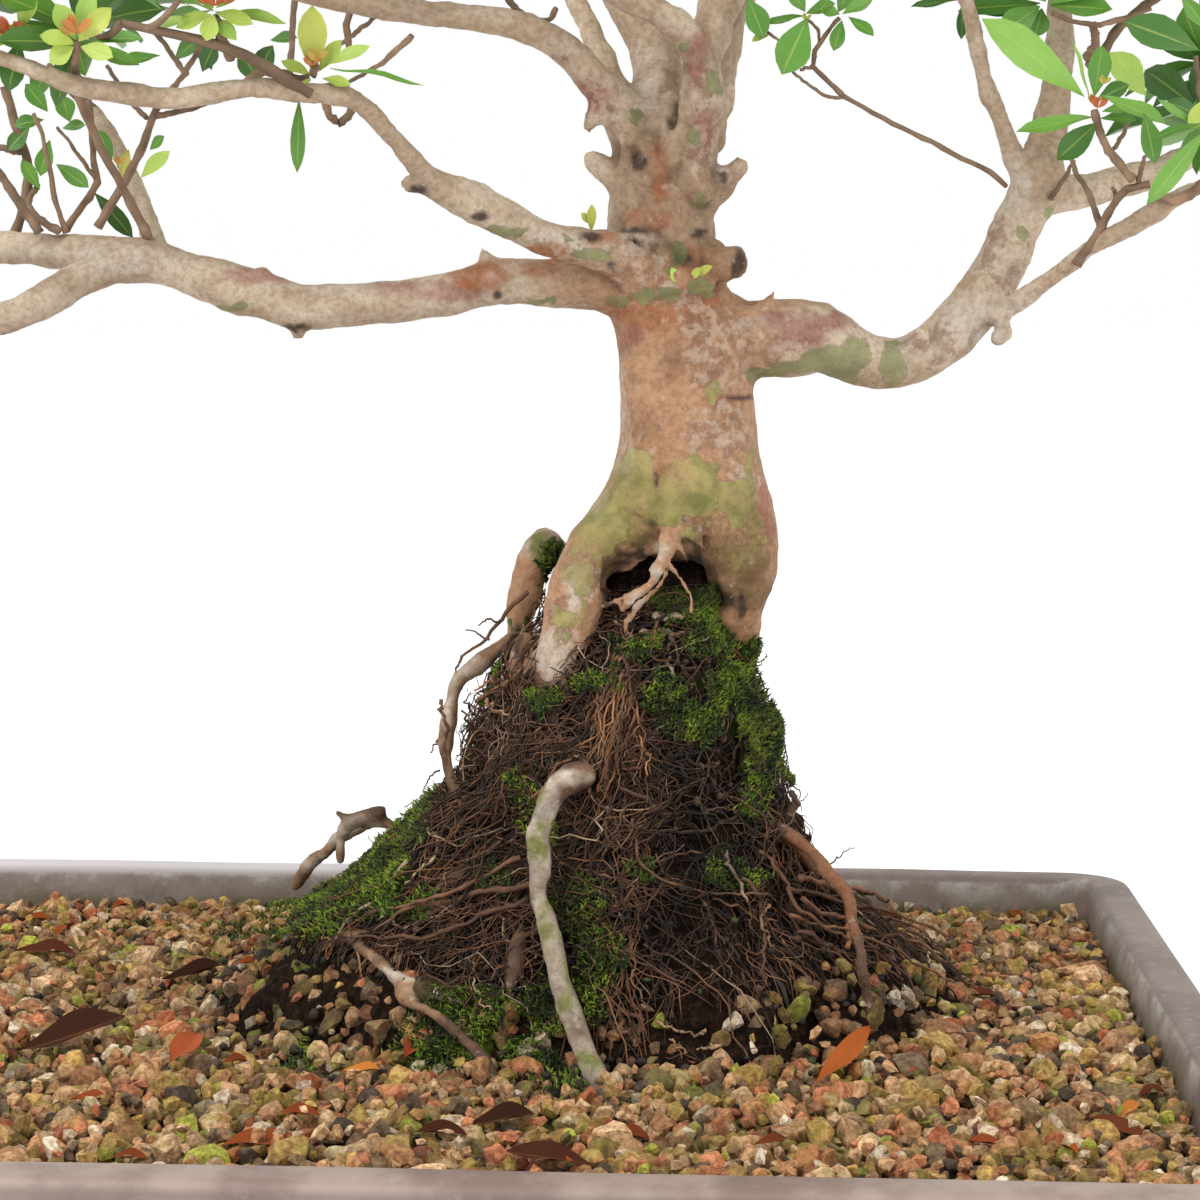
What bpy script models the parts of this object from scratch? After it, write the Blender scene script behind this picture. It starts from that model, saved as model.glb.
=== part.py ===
"""Satsuki azalea bonsai in a rectangular unglazed tray, for Blender 4.5.

The tree stands on its exposed legs over a dark root mound, in a bed of kanuma
gravel. Lengths are in metres, written in millimetres times MM. +Z is up and Z 0
is the surface that the tray's feet stand on. While it is built, X 0 and Y 0 are
the middle of the tray. At the end everything moves together, so that the origin
is under the middle of the whole plant. Points of the tree count from the
trunk's foot: (x to the right, y to the back, z above the table).
"""

import math
import random

import bmesh
import bpy
from mathutils import Matrix, Vector, noise
from mathutils.bvhtree import BVHTree
from mathutils.kdtree import KDTree

MM = 0.001
SEED = 11
GAP = 0.3 * MM

# Tray
TRAY_WIDTH = 400 * MM
TRAY_DEPTH = 296 * MM
RIM_Z = 70 * MM
LIP_WIDTH = 12 * MM
LIP_HEIGHT = 13 * MM
LIP_OVERHANG = 6 * MM
WALL_LEAN = 12 * MM
FOOT_HEIGHT = 9 * MM
FOOT_SIZE = (62 * MM, 42 * MM)
FOOT_INSET = 26 * MM
FLOOR_THICKNESS = 8 * MM
FLOOR_Z = FOOT_HEIGHT + FLOOR_THICKNESS
CORNER_RADIUS = 16 * MM
DRAIN_X = 95 * MM
DRAIN_RADIUS = 11 * MM
SCREEN_SIDE = 36 * MM
SCREEN_THICKNESS = 1.4 * MM
SCREEN_HOLES = 3

# Gravel
SOIL_Z = 58.5 * MM
DOME_HEIGHT = 9 * MM
DOME_RADIUS = 105 * MM
GRAIN_RELIEF = 5 * MM
GRAIN_STEP = 13.5 * MM

# Tree
TREE_AT = Vector((70 * MM, 14 * MM, 0))
WOOD_VOXEL = 1.1 * MM
WOOD_TRIANGLES = 3400

# The mound under the tree, as (z, centre x, centre y, radius in x, radius in y) in mm
MOUND_PROFILE = (
    (164, -14, 4, 23, 19),
    (156, -16, 4, 28, 24),
    (143, -17, 3, 33, 29),
    (123, -19, 2, 39, 34),
    (105, -24, 2, 52, 40),
    (92, -26, 3, 64, 47),
    (80, -26, 4, 79, 57),
    (70, -27, 5, 91, 65),
    (62, -28, 6, 99, 70),
    (50, -28, 6, 92, 65),
)
MOUND_ROUGHNESS = 3.0 * MM

# Wood that shows, as chains of (x, y, z, radius) in mm
TRUNK = {
    "torso": (
        (-7, 0, 262, 12), (-7, 0, 250, 12.5), (-4, 0, 236, 14.5), (-2, 0, 225, 16),
        (-1, 0, 214, 16.8), (-1, 0, 205, 17.6), (-1, 0, 196, 18.5),
    ),
    "left_leg": (
        (-8, 0, 195, 12.5), (-17, -4, 186, 10.5), (-24, -8, 179, 8.7), (-28, -12, 172, 7.6),
        (-30, -14, 164, 6.9), (-32, -16, 157, 6.5), (-33, -17, 151, 6), (-32, -15, 143, 5),
    ),
    "right_leg": (
        (5, 0, 195, 13), (11, -2, 186, 10.6), (12, -4, 178, 9.8), (11, -4, 171, 8.6),
        (11, -2, 165, 6.8), (13, 4, 158, 4.2), (13, 6, 150, 3), (12, 6, 140, 3),
    ),
    "back_leg": ((-4, 6, 190, 11), (-8, 13, 176, 8.5), (-10, 15, 160, 7), (-10, 12, 145, 6)),
    "crotch": ((0, -7, 196, 9), (0, -11, 187, 5.8)),
    "tap_root": (
        (-8, -8, 188, 2.6), (-8, -12, 182, 2.2), (-6, -14, 177, 2), (-9, -17, 172, 2.2),
        (-13, -19, 169, 1.9), (-16, -19, 164, 1.8), (-15, -17, 157, 1.8),
    ),
    "neck": (
        (-8, 0, 246, 12), (-9, 0, 256, 12), (-9, 0, 265, 11.6), (-8, 0, 272, 12),
        (-7, 0, 279, 11), (-7, 0, 285, 9.5),
    ),
    "branch_high_left": (
        (-12, 0, 280, 7.5), (-18, -4, 290, 5.6), (-24, -8, 297, 4.8), (-31, -12, 304, 4.2),
        (-42, -16, 310, 3.7), (-59, -20, 312, 3.3), (-78, -24, 314, 3), (-97, -28, 318, 2.8),
        (-120, -28, 327, 2.6), (-140, -24, 334, 2.4),
    ),
    "branch_back_left": (
        (-14, 6, 285, 5), (-21, 10, 298, 3.6), (-25, 14, 308, 3.2), (-30, 18, 319, 3),
        (-37, 26, 332, 2.8), (-50, 42, 342, 2.6), (-64, 58, 347, 2.4),
    ),
    "branch_apex": (
        (-10, 8, 282, 8.5), (-10, 15, 297, 6.6), (-10, 18, 306, 6.6), (-16, 20, 316, 5.6),
        (-22, 20, 327, 5), (-26, 16, 345, 4.4), (-22, 10, 362, 3.6), (-14, 6, 376, 2.8),
    ),
    "branch_right_top": (
        (-1, -6, 279, 6.5), (1, -8, 291, 4.8), (2, -6, 302, 4.8), (5, -2, 311, 5.2),
        (7, 2, 320, 5.2), (12, 2, 334, 4.6), (24, -2, 347, 3.6), (38, -6, 356, 2.8),
    ),
    "branch_back_right": (
        (3, 3, 284, 5), (7, 8, 301, 4), (9, 10, 311, 3.8), (16, 22, 328, 3.4),
        (28, 42, 342, 3), (42, 62, 350, 2.6),
    ),
    "branch_front_left": (
        (1, -8, 303, 3.9), (-3, -12, 309, 3.9), (-9, -16, 313, 3.6), (-18, -20, 317, 3.4),
        (-30, -34, 327, 3), (-42, -54, 337, 2.8), (-52, -68, 342, 2.4),
    ),
    "branch_front_right": ((6, 0, 318, 4.4), (14, -18, 330, 3.4), (24, -42, 340, 2.9), (32, -62, 344, 2.4)),
    "branch_left": (
        (-10, 0, 247, 9), (-23, -3, 248, 7), (-33, -5, 248, 6), (-48, -7, 248, 5.6),
        (-63, -8, 245, 5.2), (-77, -9, 243, 5.2), (-96, -9, 242, 5.7), (-105, -8, 244, 5.7),
        (-116, -7, 247, 5.8), (-130, -6, 252, 5.1), (-145, -4, 254, 5.4), (-161, 0, 256, 4.4),
        (-177, 4, 257, 4.1), (-194, 8, 257, 3.7), (-214, 12, 256, 3.2), (-226, 14, 257, 2.8),
    ),
    "branch_left_low": (
        (-142, -5, 253, 4.6), (-153, -12, 248, 4.1), (-161, -18, 243, 4), (-170, -22, 239, 3.7),
        (-179, -27, 237, 3.4), (-192, -36, 238, 3), (-203, -44, 241, 2.6),
    ),
    "branch_left_back": ((-134, -4, 253, 3.8), (-139, 4, 264, 2.7), (-146, 12, 278, 2.5), (-156, 24, 292, 2.3)),
    "branch_left_upper": (
        (-10, -8, 253, 6.5), (-25, -14, 256, 5), (-37, -19, 259, 4.2), (-46, -24, 264, 4.4),
        (-54, -30, 267, 4), (-61, -36, 271, 3), (-68, -44, 280, 2.3), (-74, -52, 287, 2.2),
        (-79, -58, 290, 2.4), (-88, -62, 290, 2.2), (-101, -66, 291, 2.4), (-116, -70, 289, 2.6),
        (-131, -74, 290, 2.4), (-144, -76, 294, 2.2), (-156, -78, 298, 2.1),
    ),
    "branch_right": (
        (0, 0, 234, 12), (9, 0, 235, 9.6), (23, 0, 233, 8.5), (32, 2, 234, 8), (38, 4, 231, 7.4),
        (46, 6, 228, 6.5), (55, 8, 229, 6.3), (64, 10, 234, 6.6), (71, 12, 242, 6.6),
        (78, 14, 253, 6.2), (82, 16, 263, 6.4), (87, 18, 272, 6.4),
    ),
    "fork_right_up": (
        (88, 18, 274, 6), (90, 20, 287, 4.7), (92, 22, 299, 4.1), (93, 24, 312, 3.6), (93, 27, 326, 3),
    ),
    "fork_right_out": ((89, 20, 270, 5.6), (101, 26, 272, 4.2), (115, 32, 275, 4), (128, 37, 280, 3)),
    "fork_right_thin": (
        (82, 16, 277, 3), (78, 14, 286, 2.4), (74, 12, 296, 2.2), (70, 10, 308, 2.1), (66, 6, 322, 2),
    ),
    "fork_right_low": (
        (77, 8, 240, 2.8), (89, 2, 249, 2.3), (99, -4, 257, 2.2), (107, -9, 262, 2.4), (115, -13, 267, 2.3),
        (121, -15, 270, 2.1),
    ),
}
STUBS = {
    "stub_left": ((-13, 0, 270, 4.5), (-23, -4, 276, 3), (-25, -5, 278, 2.6)),
    "stub_right": ((-1, -4, 268, 5), (8, -7, 273, 3.4), (11, -8, 276, 2.8)),
    "stub_cut": ((-2, -3, 252, 5), (7, -6, 253, 4.8), (10, -7, 253, 4.4)),
    "stub_knobs": ((-51, -26, 269, 3), (-57, -34, 271, 2.4), (-67, -35, 271, 2)),
}
ROOTS = {
    "core": ((-10, 10, 152, 8), (-14, 5, 135, 10), (-20, 3, 112, 11), (-25, 4, 92, 9), (-26, 4, 78, 5)),
    "knee_root": (
        (-13, 12, 160, 6), (-24, 12, 167, 5), (-34, 18, 177, 4.4), (-39, 16, 182, 4.8), (-42, 14, 176, 4.6),
        (-43, 12, 168, 3.6), (-44, 10, 160, 2.8), (-44, 8, 152, 2.6), (-40, 8, 142, 2.6),
    ),
    "arch_root": (
        (-38, 8, 154, 2.4), (-44, 6, 157, 2.4), (-50, 2, 155, 2.4), (-56, -2, 150, 2.5),
        (-60, -4, 145, 2.5), (-61, -6, 138, 2.5), (-61, -8, 130, 2.4), (-58, -8, 119, 2.3), (-44, -4, 110, 2.6), (-24, 2, 106, 3),
    ),
    "front_root": (
        (-16, 0, 120, 4), (-16, -18, 122, 3), (-22, -30, 128, 3), (-26, -35, 129, 3.3), (-31, -39, 127, 3.4), (-34, -43, 121, 3.1),
        (-36, -46, 115, 3), (-36, -48, 108, 2.8), (-36, -50, 102, 2.4), (-34, -53, 98, 2.5),
        (-31, -58, 90, 2.9), (-27, -64, 80, 2.9), (-23, -70, 71, 3), (-19, -74, 64, 2.7), (-15, -76, 55, 2.2),
    ),
    "left_root": (
        (-107, 28, 88, 1.9), (-100, 26, 95, 1.9), (-93, 22, 102, 2), (-85, 16, 106, 2), (-72, 10, 105, 2.2),
        (-50, 6, 100, 2.6), (-25, 4, 98, 3),
    ),
    "right_root": (
        (-18, 0, 112, 3), (2, -6, 110, 2.6), (14, -10, 111, 2.3), (22, -14, 112, 2.1), (30, -18, 107, 2.1), (36, -24, 102, 2.3), (40, -28, 94, 2.2),
        (43, -32, 84, 2.1), (45, -36, 74, 2), (46, -38, 62, 2),
    ),
    "lying_root": (
        (-26, 2, 84, 3), (-46, -18, 82, 2.6), (-62, -34, 78, 2.3), (-70, -42, 78, 2.1), (-65, -52, 77, 2.2), (-56, -60, 74, 2.2), (-48, -66, 69, 2),
        (-42, -70, 60, 1.9),
    ),
    "back_root_left": (
        (-17, 6, 122, 4), (-30, 26, 126, 3.2), (-40, 38, 120, 3), (-46, 50, 106, 3), (-54, 60, 88, 2.8), (-62, 72, 70, 2.6),
        (-66, 78, 56, 2.4),
    ),
    "back_root_right": (
        (-15, 5, 128, 4), (-4, 26, 132, 3.4), (2, 36, 120, 3.2), (8, 46, 100, 3), (18, 58, 82, 2.8), (26, 70, 68, 2.6), (30, 76, 55, 2.4),
    ),
}

# Leafy branches, in mm: the rib from the wood that carries it to the middle of its leaves, how far the
# leaves spread from there in x, y and z, the number of shoots, and the tips of any shoots placed by hand
PADS = {
    "far_left": (((-226, 14, 257), (-240, 16, 263), (-256, 18, 272)), (28, 38, 20), 7, ()),
    "low_left": (((-203, -44, 241), (-212, -50, 248), (-222, -58, 258)), (30, 30, 16), 5, ()),
    "left_back": (
        ((-156, 24, 292), (-164, 32, 298), (-173, 42, 306)), (34, 30, 17), 5,
        ((-138, 20, 284), (-168, 30, 280)),
    ),
    "front_left": (
        ((-86, -62, 290), (-101, -72, 299), (-124, -82, 304)), (20, 18, 12), 2,
        ((-85, -67, 297), (-107, -73, 311), (-136, -80, 303)),
    ),
    "front_far_left": (((-156, -78, 298), (-166, -83, 304), (-182, -90, 312)), (26, 24, 14), 5, ()),
    "high_left": (((-140, -24, 334), (-146, -20, 342), (-158, -12, 352)), (58, 36, 24), 8, ()),
    "back_left": (((-64, 58, 347), (-70, 66, 353), (-82, 76, 362)), (50, 40, 26), 8, ()),
    "front_top_left": (((-52, -68, 342), (-58, -74, 348), (-70, -84, 358)), (50, 34, 22), 8, ()),
    "apex": (((-14, 6, 376), (-12, 3, 385), (-10, 0, 396)), (62, 46, 32), 11, ()),
    "front_top_right": (((32, -62, 344), (36, -70, 350), (44, -82, 360)), (46, 32, 22), 7, ()),
    "right_top": (((38, -6, 356), (50, -8, 361), (66, -10, 368)), (32, 34, 22), 5, ()),
    "back_right": (((42, 62, 350), (46, 70, 355), (54, 80, 364)), (52, 34, 26), 8, ()),
    "right_up": (((93, 27, 326), (100, 28, 334), (112, 30, 344)), (38, 36, 20), 6, ()),
    "right_out": (((128, 37, 280), (138, 40, 286), (152, 46, 296)), (24, 36, 18), 5, ()),
    "right_low": (((121, -15, 270), (129, -18, 275), (142, -26, 283)), (22, 26, 14), 4, ()),
    "right_front": (((112, -11, 265), (109, -9, 276), (100, -8, 288)), (10, 10, 8), 0, ((98, -8, 291), (112, -12, 286))),
    "inner": (
        ((82, 14, 270), (73, 8, 276), (61, 2, 282), (48, -4, 288), (38, -8, 292), (30, -10, 298)),
        (10, 10, 8), 0, ((21, -12, 311), (36, -11, 313)),
    ),
}
LEAF_LENGTH = 22 * MM
LEAF_WIDTH = 10 * MM
LEAF_THICKNESS = 1.6 * MM
LEAF_FOLD = 1 * MM
LEAF_DROOP = 1 * MM
LEAF_CLEARANCE = 6 * MM
STEM_CLEARANCE = 6 * MM
WOOD_CLEARANCE = 1.5 * MM
LEAVES_IN_WHORL = 5
WHORL_CORE = 1.5 * MM
WHORL_NOTCH = 1.1 * MM
WHORL_STEM = 9 * MM
STEM_FORK = 18 * MM
TWIG_RADIUS = 1.1 * MM
RIB_RADIUS = 2.1 * MM

LOWEST_BRANCH = 130 * MM

# Dry leaves on the gravel: (x, y from the tray's middle, heading in degrees, length in mm)
FALLEN_LEAVES = (
    (-30, -100, 20, 17), (52, -112, 175, 18), (100, -60, 60, 22), (-52, -50, 80, 16),
    (-92, -38, 35, 26), (160, -70, 310, 17), (118, 52, 150, 18), (-120, 60, 15, 17),
)

COLOURS = {
    "tray": ((0.19, 0.14, 0.115), 0.6),
    "gravel": ((0.50, 0.35, 0.20), 0.9),
    "mound": ((0.055, 0.045, 0.03), 0.95),
    "wood": ((0.47, 0.34, 0.23), 0.75),
    "leaf": ((0.10, 0.28, 0.05), 0.4),
    "dry_leaf": ((0.42, 0.15, 0.05), 0.6),
    "screen": ((0.04, 0.04, 0.04), 0.5),
}


def clear_scene():
    for obj in list(bpy.data.objects):
        bpy.data.objects.remove(obj)


def new_collection(name, shown=True):
    made = bpy.data.collections.new(name)
    made.hide_render = not shown
    bpy.context.scene.collection.children.link(made)
    return made


def new_object(name, mesh, collection):
    obj = bpy.data.objects.new(name, mesh)
    collection.objects.link(obj)
    return obj


def object_from(bm, name, collection):
    mesh = bpy.data.meshes.new(name)
    bm.to_mesh(mesh)
    bm.free()
    return new_object(name, mesh, collection)


def evaluated_mesh(obj, weld=0.0):
    """The object's mesh with its modifiers, in world space; vertices nearer than weld become one."""
    graph = bpy.context.evaluated_depsgraph_get()
    mesh = bpy.data.meshes.new_from_object(obj.evaluated_get(graph))
    mesh.transform(obj.matrix_world)
    if weld:
        bm = bmesh.new()
        bm.from_mesh(mesh)
        bmesh.ops.remove_doubles(bm, verts=bm.verts, dist=weld)
        bm.to_mesh(mesh)
        bm.free()
    return mesh


def baked(obj, name, collection, weld=0.0):
    """A plain mesh object in place of obj and its modifiers."""
    mesh = evaluated_mesh(obj, weld)
    bpy.data.objects.remove(obj)
    return new_object(name, mesh, collection)


def boolean(obj, other, operation, solver="EXACT"):
    """Applies one Boolean between obj and an object or a collection, and keeps obj's name."""
    modifier = obj.modifiers.new("Boolean", "BOOLEAN")
    modifier.operation = operation
    modifier.solver = solver
    if isinstance(other, bpy.types.Collection):
        modifier.operand_type = "COLLECTION"
        modifier.collection = other
    else:
        modifier.object = other
    mesh = evaluated_mesh(obj, 0.001 * MM if solver == "EXACT" else 0.0)
    obj.modifiers.clear()
    obj.matrix_world = Matrix.Identity(4)
    obj.data = mesh


def keep_largest(obj):
    """Drops the loose scraps that a cut left beside the main body, and makes its faces triangles."""
    bm = bmesh.new()
    bm.from_mesh(obj.data)
    unseen = set(bm.verts)
    bodies = []
    while unseen:
        stack = [unseen.pop()]
        body = set(stack)
        while stack:
            for edge in stack.pop().link_edges:
                for vert in edge.verts:
                    if vert in unseen:
                        unseen.remove(vert)
                        body.add(vert)
                        stack.append(vert)
        bodies.append(body)
    bodies.sort(key=len)
    scraps = [vert for body in bodies[:-1] for vert in body]
    bmesh.ops.delete(bm, geom=scraps, context="VERTS")
    bmesh.ops.triangulate(bm, faces=bm.faces)
    bm.to_mesh(obj.data)
    bm.free()


def grown(obj, gap, collection):
    """A copy whose surface stands gap outside obj's, used to cut its neighbours."""
    layers = []
    for share in (1, 0.5, 0.1):
        copy = new_object(obj.name + "_clearance", obj.data.copy(), collection)
        displace = copy.modifiers.new("Gap", "DISPLACE")
        displace.strength = gap * share
        displace.mid_level = 0
        layers.append(baked(copy, obj.name + "_clearance", collection))
    for layer in layers[1:]:
        boolean(layers[0], layer, "UNION", "MANIFOLD")
    return layers[0]


def material(name):
    colour, roughness = COLOURS[name]
    made = bpy.data.materials.new(name)
    made.use_nodes = True
    shader = made.node_tree.nodes["Principled BSDF"]
    shader.inputs["Base Color"].default_value = (*colour, 1)
    shader.inputs["Roughness"].default_value = roughness
    shader.inputs["Metallic"].default_value = 0
    return made


def tapered_box(name, collection, top, bottom, z_low, z_high, corner):
    """A box with rounded upright edges, top and bottom being its (width, depth) at z_high and z_low."""
    bm = bmesh.new()
    bmesh.ops.create_cube(bm, size=1)
    for vert in bm.verts:
        width, depth = top if vert.co.z > 0 else bottom
        z = z_high if vert.co.z > 0 else z_low
        vert.co = Vector((vert.co.x * width, vert.co.y * depth, z))
    upright = [e for e in bm.edges if abs(e.verts[0].co.z - e.verts[1].co.z) > 0.1 * MM]
    bmesh.ops.bevel(bm, geom=upright, offset=corner, segments=5, profile=0.5, affect="EDGES")
    return object_from(bm, name, collection)


def cylinder(name, collection, radius, z_low, z_high, at, segments=20):
    bm = bmesh.new()
    bmesh.ops.create_cone(
        bm, cap_ends=True, segments=segments, radius1=radius, radius2=radius, depth=z_high - z_low
    )
    bmesh.ops.translate(bm, verts=bm.verts, vec=Vector((*at, (z_low + z_high) / 2)))
    return object_from(bm, name, collection)


def inner_size(z, inset=0.0):
    """Width and depth of the tray's hollow at height z, less an inset on each side."""
    lean = WALL_LEAN * (RIM_Z - z) / (RIM_Z - FLOOR_Z)
    trim = 2 * (LIP_WIDTH + lean + inset)
    return TRAY_WIDTH - trim, TRAY_DEPTH - trim


def make_tray(parts, cutters):
    body_top = (TRAY_WIDTH - 2 * LIP_OVERHANG, TRAY_DEPTH - 2 * LIP_OVERHANG)
    body_bottom = (body_top[0] - 2 * WALL_LEAN, body_top[1] - 2 * WALL_LEAN)
    lip_low = RIM_Z - LIP_HEIGHT
    tray = tapered_box("tray", parts, body_top, body_bottom, FOOT_HEIGHT, lip_low + 1 * MM, CORNER_RADIUS)
    rim = (TRAY_WIDTH, TRAY_DEPTH)
    lip = tapered_box("lip", cutters, rim, rim, lip_low, RIM_Z, CORNER_RADIUS)
    edges = lip.modifiers.new("Edges", "BEVEL")
    edges.width = 2.5 * MM
    edges.segments = 2
    edges.limit_method = "ANGLE"
    boolean(tray, baked(lip, "lip", cutters), "UNION")
    foot_top = (FOOT_SIZE[0] + 4 * MM, FOOT_SIZE[1] + 4 * MM)
    for side in (-1, 1):
        for end in (-1, 1):
            foot = tapered_box("foot", cutters, foot_top, FOOT_SIZE, 0, FOOT_HEIGHT + 2 * MM, 6 * MM)
            x = side * (body_bottom[0] / 2 - FOOT_INSET - FOOT_SIZE[0] / 2 + 20 * MM)
            y = end * (body_bottom[1] / 2 - FOOT_INSET - FOOT_SIZE[1] / 2 + 20 * MM)
            foot.data.transform(Matrix.Translation((x, y, 0)))
            boolean(tray, foot, "UNION")
    z_above = RIM_Z + 5 * MM
    hollow = tapered_box(
        "hollow", cutters, inner_size(z_above), inner_size(FLOOR_Z), FLOOR_Z, z_above, 9 * MM
    )
    boolean(tray, hollow, "DIFFERENCE")
    for side in (-1, 1):
        drain = cylinder(
            "drain", cutters, DRAIN_RADIUS, FOOT_HEIGHT - 5 * MM, FLOOR_Z + 5 * MM, (side * DRAIN_X, 0)
        )
        boolean(tray, drain, "DIFFERENCE")
    return tray


def make_screen(name, parts, cutters, x):
    """A square of plastic mesh that keeps the gravel out of a drain hole."""
    side = (SCREEN_SIDE, SCREEN_SIDE)
    z_low = FLOOR_Z + GAP
    screen = tapered_box(name, parts, side, side, z_low, z_low + SCREEN_THICKNESS, 2 * MM)
    step = SCREEN_SIDE / (SCREEN_HOLES + 0.4)
    bm = bmesh.new()
    for column in range(SCREEN_HOLES):
        for row in range(SCREEN_HOLES):
            middle = (SCREEN_HOLES - 1) / 2
            place = Vector(((column - middle) * step, (row - middle) * step, z_low))
            bmesh.ops.create_cube(bm, size=step * 0.66, matrix=Matrix.Translation(place))
    boolean(screen, object_from(bm, "mesh_holes", cutters), "DIFFERENCE")
    screen.data.transform(Matrix.Translation((x, 0, 0)))
    return screen


def soil_height(x, y):
    """Height of the gravel: it rises a little towards the tree."""
    from_tree = math.hypot(x - TREE_AT.x + 20 * MM, y - TREE_AT.y)
    return SOIL_Z + DOME_HEIGHT * math.exp(-((from_tree / DOME_RADIUS) ** 2))


def make_soil(parts, cutters):
    """The gravel bed: the tray's hollow, topped by a surface of coarse grains."""
    rng = random.Random(SEED)
    columns = round(TRAY_WIDTH / GRAIN_STEP)
    rows = round(TRAY_DEPTH / GRAIN_STEP)
    bm = bmesh.new()
    bmesh.ops.create_grid(bm, x_segments=columns, y_segments=rows, size=0.5)
    for vert in bm.verts:
        raised = (round((vert.co.x + 0.5) * columns) + round((vert.co.y + 0.5) * rows)) % 2
        x = vert.co.x * TRAY_WIDTH + rng.uniform(-0.25, 0.25) * GRAIN_STEP
        y = vert.co.y * TRAY_DEPTH + rng.uniform(-0.25, 0.25) * GRAIN_STEP
        vert.co = Vector((x, y, soil_height(x, y) + (raised - rng.uniform(0.4, 1)) * GRAIN_RELIEF))
    top = list(bm.faces)
    made = bmesh.ops.extrude_face_region(bm, geom=top)
    for vert in (g for g in made["geom"] if isinstance(g, bmesh.types.BMVert)):
        vert.co.z = SOIL_Z - 20 * MM
    bmesh.ops.recalc_face_normals(bm, faces=bm.faces)
    surface = object_from(bm, "grain_surface", cutters)
    z_low = FLOOR_Z + GAP
    above = RIM_Z + 5 * MM
    bed = tapered_box("soil", parts, inner_size(above, GAP), inner_size(z_low, GAP), z_low, above, 9 * MM)
    cut_above = tapered_box(
        "cut_above", cutters, (TRAY_WIDTH, TRAY_DEPTH), (TRAY_WIDTH, TRAY_DEPTH), SOIL_Z - 10 * MM, above * 2, 1 * MM
    )
    boolean(cut_above, surface, "DIFFERENCE")
    boolean(bed, cut_above, "DIFFERENCE")
    return bed


def mound_ring(z):
    """Centre and radii of the mound at height z, between the rows of MOUND_PROFILE, all in metres."""
    rows = [[value * MM for value in row] for row in MOUND_PROFILE]
    for upper, lower in zip(rows, rows[1:]):
        if z >= lower[0]:
            share = min(1.0, (upper[0] - z) / (upper[0] - lower[0]))
            return [a + (b - a) * share for a, b in zip(upper[1:], lower[1:])]
    return rows[-1][1:]


def make_mound(parts):
    """The dark mound of old soil and fine roots, turned from its profile and roughened."""
    bm = bmesh.new()
    bmesh.ops.create_uvsphere(bm, u_segments=22, v_segments=13, radius=1)
    top, low = MOUND_PROFILE[0][0] * MM, MOUND_PROFILE[-1][0] * MM
    for vert in bm.verts:
        down = math.acos(max(-1, min(1, vert.co.z))) / math.pi
        angle = math.atan2(vert.co.y, vert.co.x)
        z = top + (low - top) * min(1, max(0, (down - 0.12) / 0.8)) ** 0.9
        reach = min(1, down / 0.12, (1 - down) / 0.08)
        centre_x, centre_y, radius_x, radius_y = mound_ring(z)
        place = Vector((
            centre_x + reach * radius_x * math.cos(angle),
            centre_y + reach * radius_y * math.sin(angle),
            z + (1 - reach) * (5 * MM if down < 0.5 else 0),
        ))
        bump = noise.noise(place / (17 * MM)) * MOUND_ROUGHNESS * (reach if down < 0.9 else 0)
        outward = Vector((math.cos(angle), math.sin(angle), 0.3)).normalized()
        vert.co = place + outward * bump + TREE_AT
    bmesh.ops.triangulate(bm, faces=bm.faces)
    return object_from(bm, "root_mound", parts)


def tube(name, chain, collection, bevel_resolution=2, smooth=True):
    """A tapered tube along a chain of (place, radius), as a closed mesh."""
    curve = bpy.data.curves.new(name, "CURVE")
    curve.dimensions = "3D"
    curve.bevel_depth = 1
    curve.bevel_resolution = bevel_resolution
    curve.use_fill_caps = True
    curve.resolution_u = 3
    spline = curve.splines.new("NURBS" if smooth else "POLY")
    spline.points.add(len(chain) - 1)
    for point, (place, radius) in zip(spline.points, chain):
        point.co = (*place, 1)
        point.radius = radius
    if smooth:
        spline.order_u = 3
        spline.use_endpoint_u = True
    return baked(new_object(name, curve, collection), name, collection, weld=0.01 * MM)


def tree_chain(rows):
    return [(Vector(row[:3]) * MM + TREE_AT, row[3] * MM) for row in rows]


def all_wood():
    return {**TRUNK, **STUBS, **ROOTS}


def make_tree(parts, helpers):
    """Trunk, branches and thick roots, which grew as one piece: tubes melted together and thinned out."""
    bm = bmesh.new()
    for name, rows in all_wood().items():
        piece = tube(name, tree_chain(rows), helpers)
        bm.from_mesh(piece.data)
        bpy.data.objects.remove(piece)
    tree = object_from(bm, "tree", parts)
    melt = tree.modifiers.new("Melt", "REMESH")
    melt.mode = "VOXEL"
    melt.voxel_size = WOOD_VOXEL
    soften = tree.modifiers.new("Soften", "SMOOTH")
    soften.factor = 0.5
    soften.iterations = 3
    count = len(evaluated_mesh(tree).polygons) * 2
    thin = tree.modifiers.new("Thin", "DECIMATE")
    thin.ratio = WOOD_TRIANGLES / count
    tree = baked(tree, "tree", parts)
    keep_largest(tree)
    return tree


def leaf_mesh():
    """One leaf along +X from its base at the origin: widest past the middle, cupped and tipped down."""
    bm = bmesh.new()
    turned = Matrix.Rotation(math.radians(30), 4, "Z")
    bmesh.ops.create_uvsphere(bm, u_segments=6, v_segments=2, radius=1, matrix=turned)
    for vert in bm.verts:
        along = (vert.co.x + 1) / 2
        pole = abs(vert.co.z) > 0.5
        width = 0.42 if along < 0.5 else 1.0
        across = 0 if pole else vert.co.y / math.sin(math.radians(60)) * width
        x = LEAF_LENGTH * (0.62 if pole else along)
        if pole:
            z = vert.co.z * LEAF_THICKNESS / 2
        else:
            z = LEAF_FOLD * abs(across) - LEAF_DROOP * along ** 2
        vert.co = Vector((x, across * LEAF_WIDTH / 2, z))
    mesh = bpy.data.meshes.new("leaf")
    bm.to_mesh(mesh)
    bm.free()
    return mesh


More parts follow.
